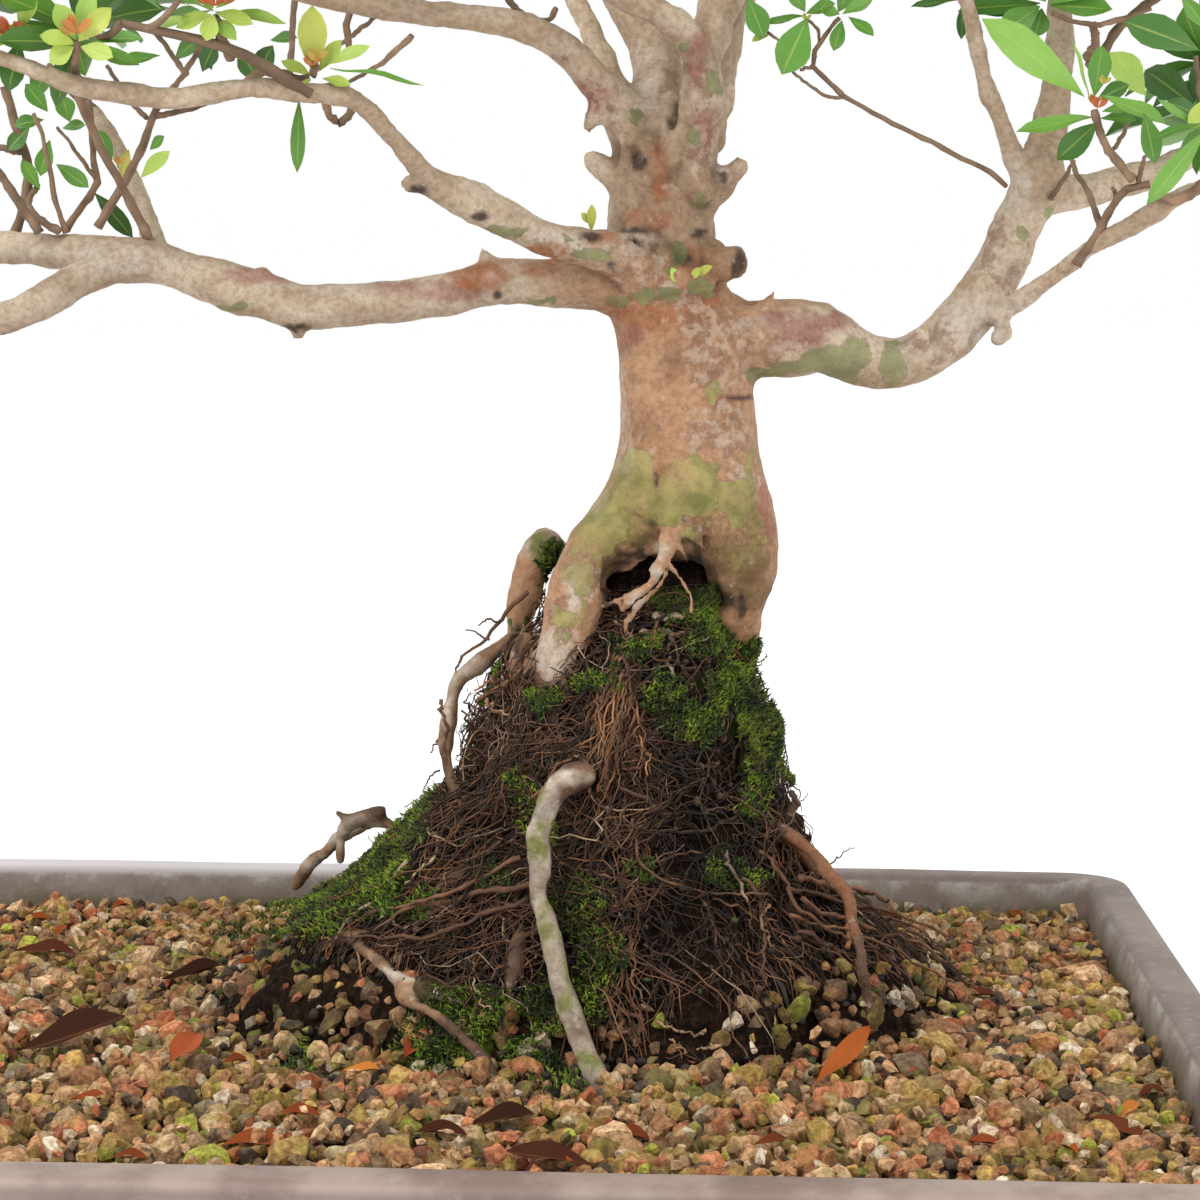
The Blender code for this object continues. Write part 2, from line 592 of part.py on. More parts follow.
def leaf_corners(lobe, count, size, rise):
    """Right edge, tip and left edge of one leaf of a whorl that grows along +Z."""
    angle = (lobe + 0.5) * 2 * math.pi / count
    heading = Vector((math.cos(angle) * math.cos(rise), math.sin(angle) * math.cos(rise), math.sin(rise)))
    across = Vector((-math.sin(angle), math.cos(angle), 0)) * LEAF_WIDTH / 2
    widest = heading * 0.64 * LEAF_LENGTH - Vector((0, 0, LEAF_FOLD))
    tip = heading * LEAF_LENGTH - Vector((0, 0, LEAF_DROOP))
    return [(widest - across) * size, tip * size, (widest + across) * size]


def ring_round(bm, at, along, side, radius, count):
    """Vertices of a ring, the first of them on the side given."""
    start = (side - along * side.dot(along)).normalized()
    turned = [Matrix.Rotation(i * 2 * math.pi / count, 3, along) @ start for i in range(count)]
    return [bm.verts.new(at + spoke * radius) for spoke in turned]


def sprig_mesh(stem, pose, leaves):
    """A shoot with its whorl in one closed mesh: a lofted stem whose last ring opens into the leaves."""
    bm = bmesh.new()
    count = len(leaves)
    side, way, place = pose.col[0].xyz, pose.col[2].xyz, pose.translation
    lower = (stem[1] - stem[0]).normalized()
    rings = [
        ring_round(bm, stem[0], lower, side, TWIG_RADIUS * 1.1, count),
        ring_round(bm, stem[1], (lower + way).normalized(), side, TWIG_RADIUS, count),
        ring_round(bm, place, way, side, WHORL_NOTCH, count),
    ]
    bm.faces.new(rings[0][::-1])
    for low, high in zip(rings, rings[1:]):
        for i in range(count):
            j = (i + 1) % count
            bm.faces.new((low[i], low[j], high[j], high[i]))
    centre = bm.verts.new(place + way * WHORL_CORE)
    for i, leaf in enumerate(leaves):
        near, far = rings[-1][i], rings[-1][(i + 1) % count]
        right, tip, left = (bm.verts.new(pose @ corner) for corner in leaf_corners(i, count, *leaf))
        for corners in ((near, right), (right, tip), (tip, left), (left, far)):
            bm.faces.new((centre, *corners))
        bm.faces.new((right, left, tip))
        bm.faces.new((near, far, left, right))
    bmesh.ops.triangulate(bm, faces=bm.faces)
    bmesh.ops.recalc_face_normals(bm, faces=bm.faces)
    mesh = bpy.data.meshes.new("sprig")
    bm.to_mesh(mesh)
    bm.free()
    return mesh


def near_wood(place, margin):
    """True where place is less than margin outside a branch."""
    for rows in TRUNK.values():
        chain = tree_chain(rows)
        for (a, radius_a), (b, radius_b) in zip(chain, chain[1:]):
            span = b - a
            share = max(0, min(1, (place - a).dot(span) / span.length_squared))
            if (place - a - span * share).length < radius_a + (radius_b - radius_a) * share + margin:
                return True
    return False


def whorl_sites(centre, spread, count, rng):
    """Places spread evenly over the upper shell of a pad."""
    sites = []
    turn = math.pi * (3 - math.sqrt(5))
    for i in range(count):
        height = 1 - (i + 0.5) / count * 1.3
        level = math.sqrt(1 - height * height)
        angle = i * turn + rng.uniform(-0.25, 0.25)
        unit = Vector((level * math.cos(angle), level * math.sin(angle), height))
        sites.append(centre + unit * spread)
    return sites


def points_along(a, b, step):
    count = max(1, round((b - a).length / step))
    return [a.lerp(b, i / count) for i in range(count + 1)]


def is_clear(points, others, margin):
    """True where no point is too near to a branch, or nearer than margin to a pad made before."""
    for point in points:
        if near_wood(point, WOOD_CLEARANCE):
            return False
        nearest = others.find(point)[2]
        if nearest is not None and nearest < margin:
            return False
    return True


def place_sprig(name, stem, place, pieces, others, rng):
    """A shoot and the leaves round its tip; one that would meet a branch or another pad stays a bud."""
    way = (place - stem[1]).normalized()
    side = Matrix.Rotation(rng.uniform(0, 2 * math.pi), 3, way) @ way.orthogonal().normalized()
    pose = Matrix.Translation(place) @ Matrix((side, way.cross(side), way)).transposed().to_4x4()
    leaves = []
    used = []
    for lobe in range(LEAVES_IN_WHORL):
        size = rng.uniform(0.8, 1.15)
        rise = math.radians(rng.uniform(8, 45))
        corners = [pose @ corner for corner in leaf_corners(lobe, LEAVES_IN_WHORL, size, rise)]
        reach = points_along(place.lerp(corners[1], 0.35), corners[1], 5 * MM) + corners
        if is_clear(reach, others, LEAF_CLEARANCE):
            used.extend(reach)
        else:
            size = 0.2
        leaves.append((size, rise))
    new_object(name, sprig_mesh(stem, pose, leaves), pieces)
    return used


def kd_tree(points):
    made = KDTree(len(points))
    for i, point in enumerate(points):
        made.insert(point, i)
    made.balance()
    return made


def make_pad(name, pad, tree_clearance, taken, parts):
    """One leafy branch: a rib that goes on from the wood, shoots from the rib, and their leaves."""
    rng = random.Random(name)
    rib_rows, spread, count, hand_placed = pad
    rib = [Vector(row) * MM + TREE_AT for row in rib_rows]
    spread = Vector(spread) * MM
    centre = rib[-1]
    others = kd_tree(taken)
    pieces = bpy.data.collections.new(name + "_pieces")
    bpy.context.scene.collection.children.link(pieces)
    inside = rib[0] - (rib[1] - rib[0]).normalized() * 2 * MM
    radii = [RIB_RADIUS + (TWIG_RADIUS - RIB_RADIUS) * i / (len(rib) - 1) for i in range(len(rib))]
    whole = tube("foliage_" + name, list(zip([inside, *rib[1:]], radii)), parts, 1, smooth=False)
    along = [point for a, b in zip(rib, rib[1:]) for point in points_along(a, b, 5 * MM)]
    used = list(along)
    sites = [Vector(site) * MM + TREE_AT for site in hand_placed] + whorl_sites(centre, spread, count, rng)
    for i, place in enumerate(sites):
        way = ((place - centre).normalized() + Vector((0, 0, 0.9))).normalized()
        root = min(along[1:], key=lambda point: (place - way * STEM_FORK - point).length)
        bend = root.lerp(place - way * WHORL_STEM, 0.65) + Vector((0, 0, -1.5 * MM))
        run = points_along(root.lerp(bend, 0.5), bend, 5 * MM) + points_along(bend, place, 5 * MM)
        if not is_clear(run, others, STEM_CLEARANCE):
            continue
        used.extend(run)
        used.extend(place_sprig(f"{name}_{i}", (root, bend), place, pieces, others, rng))
    taken.extend(used)
    boolean(whole, pieces, "UNION", "MANIFOLD")
    boolean(whole, tree_clearance, "DIFFERENCE", "MANIFOLD")
    keep_largest(whole)
    for piece in list(pieces.objects):
        bpy.data.objects.remove(piece)
    bpy.data.collections.remove(pieces)
    return whole


def bvh_of(mesh):
    bm = bmesh.new()
    bm.from_mesh(mesh)
    tree = BVHTree.FromBMesh(bm)
    bm.free()
    return tree


def lift_to_rest(mesh, ground):
    """How far a small mesh at Z 0 must rise to rest on these objects."""
    own = bvh_of(mesh)
    trees = [bvh_of(obj.data) for obj in ground]
    spots = [vert.co for vert in mesh.vertices]
    spots += [(a.co + b.co) / 2 for a in mesh.vertices for b in mesh.vertices if a.index < b.index]
    lift = 0.0
    for spot in spots:
        for tree in trees:
            top = tree.ray_cast(Vector((spot.x, spot.y, LOWEST_BRANCH)), Vector((0, 0, -1)))[0]
            under = own.ray_cast(Vector((spot.x, spot.y, -1)), Vector((0, 0, 1)))[0]
            if top and under:
                lift = max(lift, top.z - under.z)
    for vert in (vert for obj in ground for vert in obj.data.vertices if vert.co.z < LOWEST_BRANCH):
        under = own.ray_cast(Vector((vert.co.x, vert.co.y, -1)), Vector((0, 0, 1)))[0]
        if under:
            lift = max(lift, vert.co.z - under.z)
    return lift + GAP


def make_fallen_leaves(leaf, ground, parts):
    """Dry leaves that lie on the gravel."""
    made = []
    for number, (x, y, heading, length) in enumerate(FALLEN_LEAVES, 1):
        pose = Matrix.Translation((x * MM, y * MM, 0)) @ Matrix.Rotation(math.radians(heading), 4, "Z")
        flat = leaf.copy()
        flat.transform(pose @ Matrix.Scale(length * MM / LEAF_LENGTH, 4))
        flat.transform(Matrix.Translation((0, 0, lift_to_rest(flat, ground))))
        made.append(new_object(f"fallen_leaf_{number}", flat, parts))
    return made


def centre_on_origin(objects):
    """Moves everything so that the origin is under the middle of the whole plant."""
    corners = [vert.co for obj in objects for vert in obj.data.vertices]
    shift = Vector((
        -(min(c.x for c in corners) + max(c.x for c in corners)) / 2,
        -(min(c.y for c in corners) + max(c.y for c in corners)) / 2,
        0,
    ))
    for obj in objects:
        obj.data.transform(Matrix.Translation(shift))


def finish(obj, slot, materials):
    obj.data.materials.clear()
    obj.data.materials.append(materials[slot])
    obj.data.shade_smooth()
    obj.data.set_sharp_from_angle(angle=math.radians(40))


def main():
    clear_scene()
    parts = new_collection("azalea_bonsai")
    cutters = new_collection("cutters", shown=False)
    materials = {name: material(name) for name in COLOURS}

    tray = make_tray(parts, cutters)
    screens = [
        make_screen("drain_screen_left", parts, cutters, -DRAIN_X),
        make_screen("drain_screen_right", parts, cutters, DRAIN_X),
    ]
    soil = make_soil(parts, cutters)
    mound = make_mound(parts)
    tree = make_tree(parts, cutters)
    tree_clearance = grown(tree, GAP * 1.3, cutters)
    boolean(soil, grown(mound, GAP * 1.3, cutters), "DIFFERENCE")
    boolean(soil, tree_clearance, "DIFFERENCE")
    boolean(mound, tree_clearance, "DIFFERENCE")
    for side in (-1, 1):
        size = (SCREEN_SIDE + 4 * MM, SCREEN_SIDE + 4 * MM)
        pocket = tapered_box("pocket", cutters, size, size, FLOOR_Z - 5 * MM, FLOOR_Z + 2.4 * MM, 1 * MM)
        pocket.data.transform(Matrix.Translation((side * DRAIN_X, 0, 0)))
        boolean(soil, pocket, "DIFFERENCE")
    keep_largest(soil)
    keep_largest(mound)

    leaf = leaf_mesh()
    taken = []
    pads = [make_pad(name, pad, tree_clearance, taken, parts) for name, pad in PADS.items()]
    dry = make_fallen_leaves(leaf, [soil, mound, tree], parts)

    for obj, slot in [(tray, "tray"), (soil, "gravel"), (mound, "mound"), (tree, "wood")]:
        finish(obj, slot, materials)
    for obj in screens:
        finish(obj, "screen", materials)
    for obj in pads:
        finish(obj, "leaf", materials)
    for obj in dry:
        finish(obj, "dry_leaf", materials)
    centre_on_origin([tray, soil, mound, tree, *screens, *pads, *dry])
    for cutter in list(cutters.objects):
        cutter.hide_render = True
        cutter.display_type = "WIRE"


main()
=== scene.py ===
"""Satsuki azalea bonsai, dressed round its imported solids: bark, leaves, roots, moss and gravel.

Lengths are in millimetres until they go into a mesh. Points of the tree count from the trunk's foot:
(x to the right, y to the back, z above the table). TREE adds the place of that foot in the row frame.
"""

import math
import random

import bmesh
import bpy
import numpy as np
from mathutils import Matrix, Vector


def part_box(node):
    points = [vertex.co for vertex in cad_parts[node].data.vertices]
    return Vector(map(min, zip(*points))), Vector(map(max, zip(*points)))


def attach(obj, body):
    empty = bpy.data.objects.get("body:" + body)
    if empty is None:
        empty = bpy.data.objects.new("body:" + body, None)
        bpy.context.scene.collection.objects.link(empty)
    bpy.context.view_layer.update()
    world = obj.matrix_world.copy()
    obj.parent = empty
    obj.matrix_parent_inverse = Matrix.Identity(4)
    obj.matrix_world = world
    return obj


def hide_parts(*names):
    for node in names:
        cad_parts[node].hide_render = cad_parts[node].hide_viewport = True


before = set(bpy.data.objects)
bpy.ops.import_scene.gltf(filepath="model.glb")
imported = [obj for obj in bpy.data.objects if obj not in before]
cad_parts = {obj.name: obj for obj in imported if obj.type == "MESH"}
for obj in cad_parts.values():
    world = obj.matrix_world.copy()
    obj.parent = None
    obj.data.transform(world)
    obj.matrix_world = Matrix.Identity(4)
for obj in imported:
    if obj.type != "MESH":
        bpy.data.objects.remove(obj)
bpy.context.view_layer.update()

MM = 0.001
tray_low, tray_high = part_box("tray")
TRAY = np.array([(tray_low.x + tray_high.x) / 2, (tray_low.y + tray_high.y) / 2, 0]) / MM
# The trunk's foot, from the tray's middle
FOOT_X, FOOT_Y = 70, 14
TREE = TRAY + (FOOT_X, FOOT_Y, 0)

# The gravel's top, which rises in a low dome round the tree, and the tray
SOIL_Z = 58.5
DOME_X = -20
DOME_HEIGHT = 9
DOME_RADIUS = 105
TRAY_WIDTH = 400
TRAY_DEPTH = 296
RIM_Z = 70
LIP_WIDTH = 12
WALL_LEAN = 12
FLOOR_Z = 17

# The root mound's rings: height, centre x, centre y, radius in x, radius in y
MOUND_PROFILE = np.array((
    (164, -14, 4, 23, 19),
    (156, -16, 4, 28, 24),
    (143, -17, 3, 33, 29),
    (123, -19, 2, 39, 34),
    (105, -24, 2, 52, 40),
    (92, -26, 3, 64, 47),
    (80, -26, 4, 79, 57),
    (70, -27, 5, 91, 65),
    (62, -28, 6, 99, 70),
    (50, -28, 6, 92, 65),
), float)
MOUND_MIDDLE = (-26, 5, 0)

# Where a place of the picture counts as on the mound, and the depth that it gets where it misses it
MOUND_TOP = 168
MISSED_DEPTH = -20.0

# Wood that shows, as chains of (x, y, z, radius) in mm
TRUNK = {
    "torso": (
        (-7, 0, 262, 12), (-7, 0, 250, 12.5), (-4, 0, 236, 14.5), (-2, 0, 225, 16),
        (-1, 0, 214, 16.8), (-1, 0, 205, 17.6), (-1, 0, 196, 18.5),
    ),
    "left_leg": (
        (-8, 0, 195, 12.5), (-17, -4, 186, 10.5), (-24, -8, 179, 8.7), (-28, -12, 172, 7.6),
        (-30, -14, 164, 6.9), (-32, -16, 157, 6.5), (-33, -17, 151, 6), (-32, -15, 143, 5),
    ),
    "right_leg": (
        (5, 0, 195, 13), (11, -2, 186, 10.6), (12, -4, 178, 9.8), (11, -4, 171, 8.6),
        (11, -2, 165, 6.8), (13, 4, 158, 4.2), (13, 6, 150, 3), (12, 6, 140, 3),
    ),
    "back_leg": ((-4, 6, 190, 11), (-8, 13, 176, 8.5), (-10, 15, 160, 7), (-10, 12, 145, 6)),
    "crotch": ((0, -7, 196, 9), (0, -11, 187, 5.8)),
    "tap_root": (
        (-8, -8, 188, 2.6), (-8, -12, 182, 2.2), (-6, -14, 177, 2), (-9, -17, 172, 2.2),
        (-13, -19, 169, 1.9), (-16, -19, 164, 1.8), (-15, -17, 157, 1.8),
    ),
    "neck": (
        (-8, 0, 246, 12), (-9, 0, 256, 12), (-9, 0, 265, 11.6), (-8, 0, 272, 12),
        (-7, 0, 279, 11), (-7, 0, 285, 9.5),
    ),
    "branch_high_left": (
        (-12, 0, 280, 7.5), (-18, -4, 290, 5.6), (-24, -8, 297, 4.8), (-31, -12, 304, 4.2),
        (-42, -16, 310, 3.7), (-59, -20, 312, 3.3), (-78, -24, 314, 3), (-97, -28, 318, 2.8),
        (-120, -28, 327, 2.6), (-140, -24, 334, 2.4),
    ),
    "branch_back_left": (
        (-14, 6, 285, 5), (-21, 10, 298, 3.6), (-25, 14, 308, 3.2), (-30, 18, 319, 3),
        (-37, 26, 332, 2.8), (-50, 42, 342, 2.6), (-64, 58, 347, 2.4),
    ),
    "branch_apex": (
        (-10, 8, 282, 8.5), (-10, 15, 297, 6.6), (-10, 18, 306, 6.6), (-16, 20, 316, 5.6),
        (-22, 20, 327, 5), (-26, 16, 345, 4.4), (-22, 10, 362, 3.6), (-14, 6, 376, 2.8),
    ),
    "branch_right_top": (
        (-1, -6, 279, 6.5), (1, -8, 291, 4.8), (2, -6, 302, 4.8), (5, -2, 311, 5.2),
        (7, 2, 320, 5.2), (12, 2, 334, 4.6), (24, -2, 347, 3.6), (38, -6, 356, 2.8),
    ),
    "branch_back_right": (
        (3, 3, 284, 5), (7, 8, 301, 4), (9, 10, 311, 3.8), (16, 22, 328, 3.4),
        (28, 42, 342, 3), (42, 62, 350, 2.6),
    ),
    "branch_front_left": (
        (1, -8, 303, 3.9), (-3, -12, 309, 3.9), (-9, -16, 313, 3.6), (-18, -20, 317, 3.4),
        (-30, -34, 327, 3), (-42, -54, 337, 2.8), (-52, -68, 342, 2.4),
    ),
    "branch_front_right": ((6, 0, 318, 4.4), (14, -18, 330, 3.4), (24, -42, 340, 2.9), (32, -62, 344, 2.4)),
    "branch_left": (
        (-10, 0, 247, 9), (-23, -3, 248, 7), (-33, -5, 248, 6), (-48, -7, 248, 5.6),
        (-63, -8, 245, 5.2), (-77, -9, 243, 5.2), (-96, -9, 242, 5.7), (-105, -8, 244, 5.7),
        (-116, -7, 247, 5.8), (-130, -6, 252, 5.1), (-145, -4, 254, 5.4), (-161, 0, 256, 4.4),
        (-177, 4, 257, 4.1), (-194, 8, 257, 3.7), (-214, 12, 256, 3.2), (-226, 14, 257, 2.8),
    ),
    "branch_left_low": (
        (-142, -5, 253, 4.6), (-153, -12, 248, 4.1), (-161, -18, 243, 4), (-170, -22, 239, 3.7),
        (-179, -27, 237, 3.4), (-192, -36, 238, 3), (-203, -44, 241, 2.6),
    ),
    "branch_left_back": (
        (-134, -4, 253, 3.8), (-139, 4, 264, 2.7), (-146, 12, 278, 2.5), (-156, 24, 292, 2.3),
    ),
    "branch_left_upper": (
        (-10, -8, 253, 6.5), (-25, -14, 256, 5), (-37, -19, 259, 4.2), (-46, -24, 264, 4.4),
        (-54, -30, 267, 4), (-61, -36, 271, 3), (-68, -44, 280, 2.3), (-74, -52, 287, 2.2),
        (-79, -58, 290, 2.4), (-88, -62, 290, 2.2), (-101, -66, 291, 2.4), (-116, -70, 289, 2.6),
        (-131, -74, 290, 2.4), (-144, -76, 294, 2.2), (-156, -78, 298, 2.1),
    ),
    "branch_right": (
        (0, 0, 234, 12), (9, 0, 235, 9.6), (23, 0, 233, 8.5), (32, 2, 234, 8), (38, 4, 231, 7.4),
        (46, 6, 228, 6.5), (55, 8, 229, 6.3), (64, 10, 234, 6.6), (71, 12, 242, 6.6),
        (78, 14, 253, 6.2), (82, 16, 263, 6.4), (87, 18, 272, 6.4),
    ),
    "fork_right_up": (
        (88, 18, 274, 6), (90, 20, 287, 4.7), (92, 22, 299, 4.1), (93, 24, 312, 3.6), (93, 27, 326, 3),
    ),
    "fork_right_out": ((89, 20, 270, 5.6), (101, 26, 272, 4.2), (115, 32, 275, 4), (128, 37, 280, 3)),
    "fork_right_thin": (
        (82, 16, 277, 3), (78, 14, 286, 2.4), (74, 12, 296, 2.2), (70, 10, 308, 2.1), (66, 6, 322, 2),
    ),
    "fork_right_low": (
        (77, 8, 240, 2.8), (89, 2, 249, 2.3), (99, -4, 257, 2.2), (107, -9, 262, 2.4), (115, -13, 267, 2.3),
        (121, -15, 270, 2.1),
    ),
}

STUBS = {
    "stub_left": ((-13, 0, 270, 4.5), (-23, -4, 276, 3), (-25, -5, 278, 2.6)),
    "stub_right": ((-1, -4, 268, 5), (8, -7, 273, 3.4), (11, -8, 276, 2.8)),
    "stub_cut": ((-2, -3, 252, 5), (7, -6, 253, 4.8), (10, -7, 253, 4.4)),
    "stub_knobs": ((-51, -26, 269, 3), (-57, -34, 271, 2.4), (-67, -35, 271, 2)),
}

ROOTS = {
    "knee_root": (
        (-13, 12, 160, 6), (-24, 12, 167, 5), (-34, 18, 177, 4.4), (-39, 16, 182, 4.8), (-42, 14, 176, 4.6),
        (-43, 12, 168, 3.6), (-44, 10, 160, 2.8), (-44, 8, 152, 2.6), (-40, 8, 142, 2.6),
    ),
    "arch_root": (
        (-38, 8, 154, 2.4), (-44, 6, 157, 2.4), (-50, 2, 155, 2.4), (-56, -2, 150, 2.5), (-60, -4, 145, 2.5),
        (-61, -6, 138, 2.5), (-61, -8, 130, 2.4), (-58, -8, 119, 2.3), (-44, -4, 110, 2.6), (-24, 2, 106, 3),
    ),
    "front_root": (
        (-26, -35, 129, 3.3), (-31, -39, 127, 3.4), (-34, -43, 121, 3.1),
        (-36, -46, 115, 3), (-36, -48, 108, 2.8), (-36, -50, 102, 2.4), (-34, -53, 98, 2.5),
        (-31, -58, 90, 2.9), (-27, -64, 80, 2.9), (-23, -70, 71, 3), (-19, -74, 64, 2.7), (-15, -76, 55, 2.2),
    ),
    "left_root": (
        (-107, 28, 88, 1.9), (-100, 26, 95, 1.9), (-93, 22, 102, 2), (-85, 16, 106, 2), (-72, 10, 105, 2.2),
        (-50, 6, 100, 2.6), (-25, 4, 98, 3),
    ),
    "right_root": (
        (-18, 0, 112, 3), (2, -6, 110, 2.6), (14, -10, 111, 2.3), (22, -14, 112, 2.1), (30, -18, 107, 2.1),
        (36, -24, 102, 2.3), (40, -28, 94, 2.2), (43, -32, 84, 2.1), (45, -36, 74, 2), (46, -38, 62, 2),
    ),
    "lying_root": (
        (-26, 2, 84, 3), (-46, -18, 82, 2.6), (-62, -34, 78, 2.3), (-70, -42, 78, 2.1), (-65, -52, 77, 2.2),
        (-56, -60, 74, 2.2), (-48, -66, 69, 2), (-42, -70, 60, 1.9),
    ),
    "back_root_left": (
        (-17, 6, 122, 4), (-30, 26, 126, 3.2), (-40, 38, 120, 3), (-46, 50, 106, 3), (-54, 60, 88, 2.8),
        (-62, 72, 70, 2.6), (-66, 78, 56, 2.4),
    ),
    "back_root_right": (
        (-15, 5, 128, 4), (-4, 26, 132, 3.4), (2, 36, 120, 3.2), (8, 46, 100, 3), (18, 58, 82, 2.8),
        (26, 70, 68, 2.6), (30, 76, 55, 2.4),
    ),
}
SLIM_ROOTS = ("arch_root", "left_root", "lying_root", "right_root")

# Leafy branches, in mm: the rib from the wood that carries it to the middle of its leaves, how far the
# leaves spread from there in x, y and z, and the number of shoots. Two have only listed leaves.
PADS = {
    "far_left": (((-226, 14, 257), (-240, 16, 263), (-256, 18, 272)), (28, 38, 20), 7),
    "low_left": (((-203, -44, 241), (-212, -50, 248), (-222, -58, 258)), (30, 30, 16), 5),
    "left_back": (((-156, 24, 292), (-164, 32, 298), (-173, 42, 306)), (34, 30, 17), 5),
    "front_left": (((-86, -62, 290), (-101, -72, 299), (-124, -82, 304)), (20, 18, 12), 2),
    "front_far_left": (((-156, -78, 298), (-166, -83, 304), (-182, -90, 312)), (26, 24, 14), 5),
    "high_left": (((-140, -24, 334), (-146, -20, 342), (-158, -12, 352)), (58, 36, 24), 8),
    "back_left": (((-64, 58, 347), (-70, 66, 353), (-82, 76, 362)), (50, 40, 26), 8),
    "front_top_left": (((-52, -68, 342), (-58, -74, 348), (-70, -84, 358)), (50, 34, 22), 8),
    "apex": (((-14, 6, 376), (-12, 3, 385), (-10, 0, 396)), (62, 46, 32), 11),
    "front_top_right": (((32, -62, 344), (36, -70, 350), (44, -82, 360)), (46, 32, 22), 7),
    "right_top": (((38, -6, 356), (50, -8, 361), (66, -10, 368)), (32, 34, 22), 5),
    "back_right": (((42, 62, 350), (46, 70, 355), (54, 80, 364)), (52, 34, 26), 8),
    "right_up": (((93, 27, 326), (100, 28, 334), (112, 30, 344)), (38, 36, 20), 6),
    "right_out": (((128, 37, 280), (138, 40, 286), (152, 46, 296)), (24, 36, 18), 5),
    "right_low": (((121, -15, 270), (129, -18, 275), (142, -26, 283)), (22, 26, 14), 4),
    "right_front": None,
    "inner": None,
}

# Dry leaves on the gravel: (x, y from the tray's middle, heading in degrees, length, width, tone, curl)
FALLEN_LEAVES = (
    (-30, -100, 20, 17, 8.5, 0.45, 0.12), (52, -112, 175, 18, 9, 0.1, -0.2),
    (100, -60, 60, 22, 6.6, 0.62, -0.7), (-52, -50, 80, 16, 8, 0.95, -0.3),
    (-92, -38, 35, 26, 13, 0.06, -0.4), (160, -70, 310, 17, 8.5, 0.3, 0.1), (118, 52, 150, 18, 9, 0.5, -0.2),
    (-120, 60, 15, 17, 8.5, 0.2, 0.2),
)


def rgb(red, green, blue):
    """A colour given as on a screen, 0 to 255, as the linear values that a shader takes."""
    shares = (red / 255, green / 255, blue / 255)
    return tuple(c / 12.92 if c < 11 / 255 else ((c + 0.055) / 1.055) ** 2.4 for c in shares)


def rgb_rows(colours):
    """Colours as the rows of an array."""
    return np.array([rgb(*colour) for colour in colours])


# Noise on arrays of points

def hashed(cells, seed):
    """A number from 0 to 1 for each lattice cell."""
    n = cells[..., 0] * 374761393 + cells[..., 1] * 668265263 + cells[..., 2] * 1103515245 + seed * 1274126177
    n = (n ^ (n >> 13)) * 1274126177
    return ((n ^ (n >> 16)) & 0xFFFF) / 0xFFFF


def value_noise(points, scale, seed=0):
    """Smooth noise from -1 to 1 whose lumps are scale wide."""
    spots = points / scale + 1000
    cells = np.floor(spots).astype(np.int64)
    part = spots - cells
    part = part * part * (3 - 2 * part)
    total = 0
    for dx in (0, 1):
        for dy in (0, 1):
            for dz in (0, 1):
                weight = (
                    (part[..., 0] if dx else 1 - part[..., 0])
                    * (part[..., 1] if dy else 1 - part[..., 1])
                    * (part[..., 2] if dz else 1 - part[..., 2])
                )
                total = total + weight * hashed(cells + (dx, dy, dz), seed)
    return total * 2 - 1


def noise_vectors(noise, points, *settings, seeds):
    """Noises with a seed each, as the parts of a vector."""
    return np.stack([noise(points, *settings, seed) for seed in seeds], -1)


def fractal(points, scale, octaves=3, seed=0):
    """Layers of noise, each half as wide and half as high as the one before."""
    total = 0
    for i in range(octaves):
        total = total + value_noise(points, scale / 2 ** i, seed + i) / 2 ** i
    return total


# Meshes from arrays

def add_piece(name, verts, faces, material, slot, **attributes):
    """A piece of the plant from points in mm, faces of one length, and values for each point."""
    mesh = bpy.data.meshes.new(name)
    count, corners = faces.shape
    mesh.vertices.add(len(verts))
    mesh.vertices.foreach_set("co", (verts * MM).astype(np.float32).ravel())
    mesh.loops.add(count * corners)
    mesh.loops.foreach_set("vertex_index", faces.astype(np.int32).ravel())
    mesh.polygons.add(count)
    mesh.polygons.foreach_set("loop_start", np.arange(0, count * corners, corners, dtype=np.int32))
    mesh.update(calc_edges=True)
    for key, values in attributes.items():
        store(mesh, key, values)
    mesh.shade_smooth()
    return add_object(name, mesh, material)


def store(mesh, key, values):
    """Keeps a value or a colour for each point."""
    if values.ndim == 1:
        mesh.attributes.new(key, "FLOAT", "POINT").data.foreach_set("value", values.astype(np.float32))
    else:
        padded = np.concatenate([values, np.ones((len(values), 1))], 1)
        layer = mesh.attributes.new(key, "FLOAT_COLOR", "POINT")
        layer.data.foreach_set("color", padded.astype(np.float32).ravel())


def linked(name, data):
    """An object in the scene that holds the data."""
    obj = bpy.data.objects.new(name, data)
    bpy.context.scene.collection.objects.link(obj)
    return obj


def add_object(name, mesh, material):
    """A piece that rides on the part's only body."""
    obj = linked(name, mesh)
    mesh.materials.clear()
    mesh.materials.append(material)
    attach(obj, "root")
    return obj


def point_array(mesh):
    """The points of a mesh in millimetres."""
    verts = np.empty(len(mesh.vertices) * 3, np.float32)
    mesh.vertices.foreach_get("co", verts)
    return verts.reshape(-1, 3).astype(float) / MM


def normal_array(mesh):
    """The normals at the points of a mesh."""
    normals = np.empty(len(mesh.vertices) * 3, np.float32)
    mesh.vertex_normals.foreach_get("vector", normals)
    return normals.reshape(-1, 3).astype(float)


def set_points(mesh, verts):
    """Moves the points of a mesh to places in millimetres."""
    mesh.vertices.foreach_set("co", (verts * MM).astype(np.float32).ravel())
    mesh.update()


def icosphere_arrays(subdivisions):
    """Points and triangles of a ball of radius 1."""
    bm = bmesh.new()
    bmesh.ops.create_icosphere(bm, subdivisions=subdivisions, radius=1)
    verts = np.array([v.co[:] for v in bm.verts])
    faces = np.array([[v.index for v in f.verts] for f in bm.faces])
    bm.free()
    return verts, faces


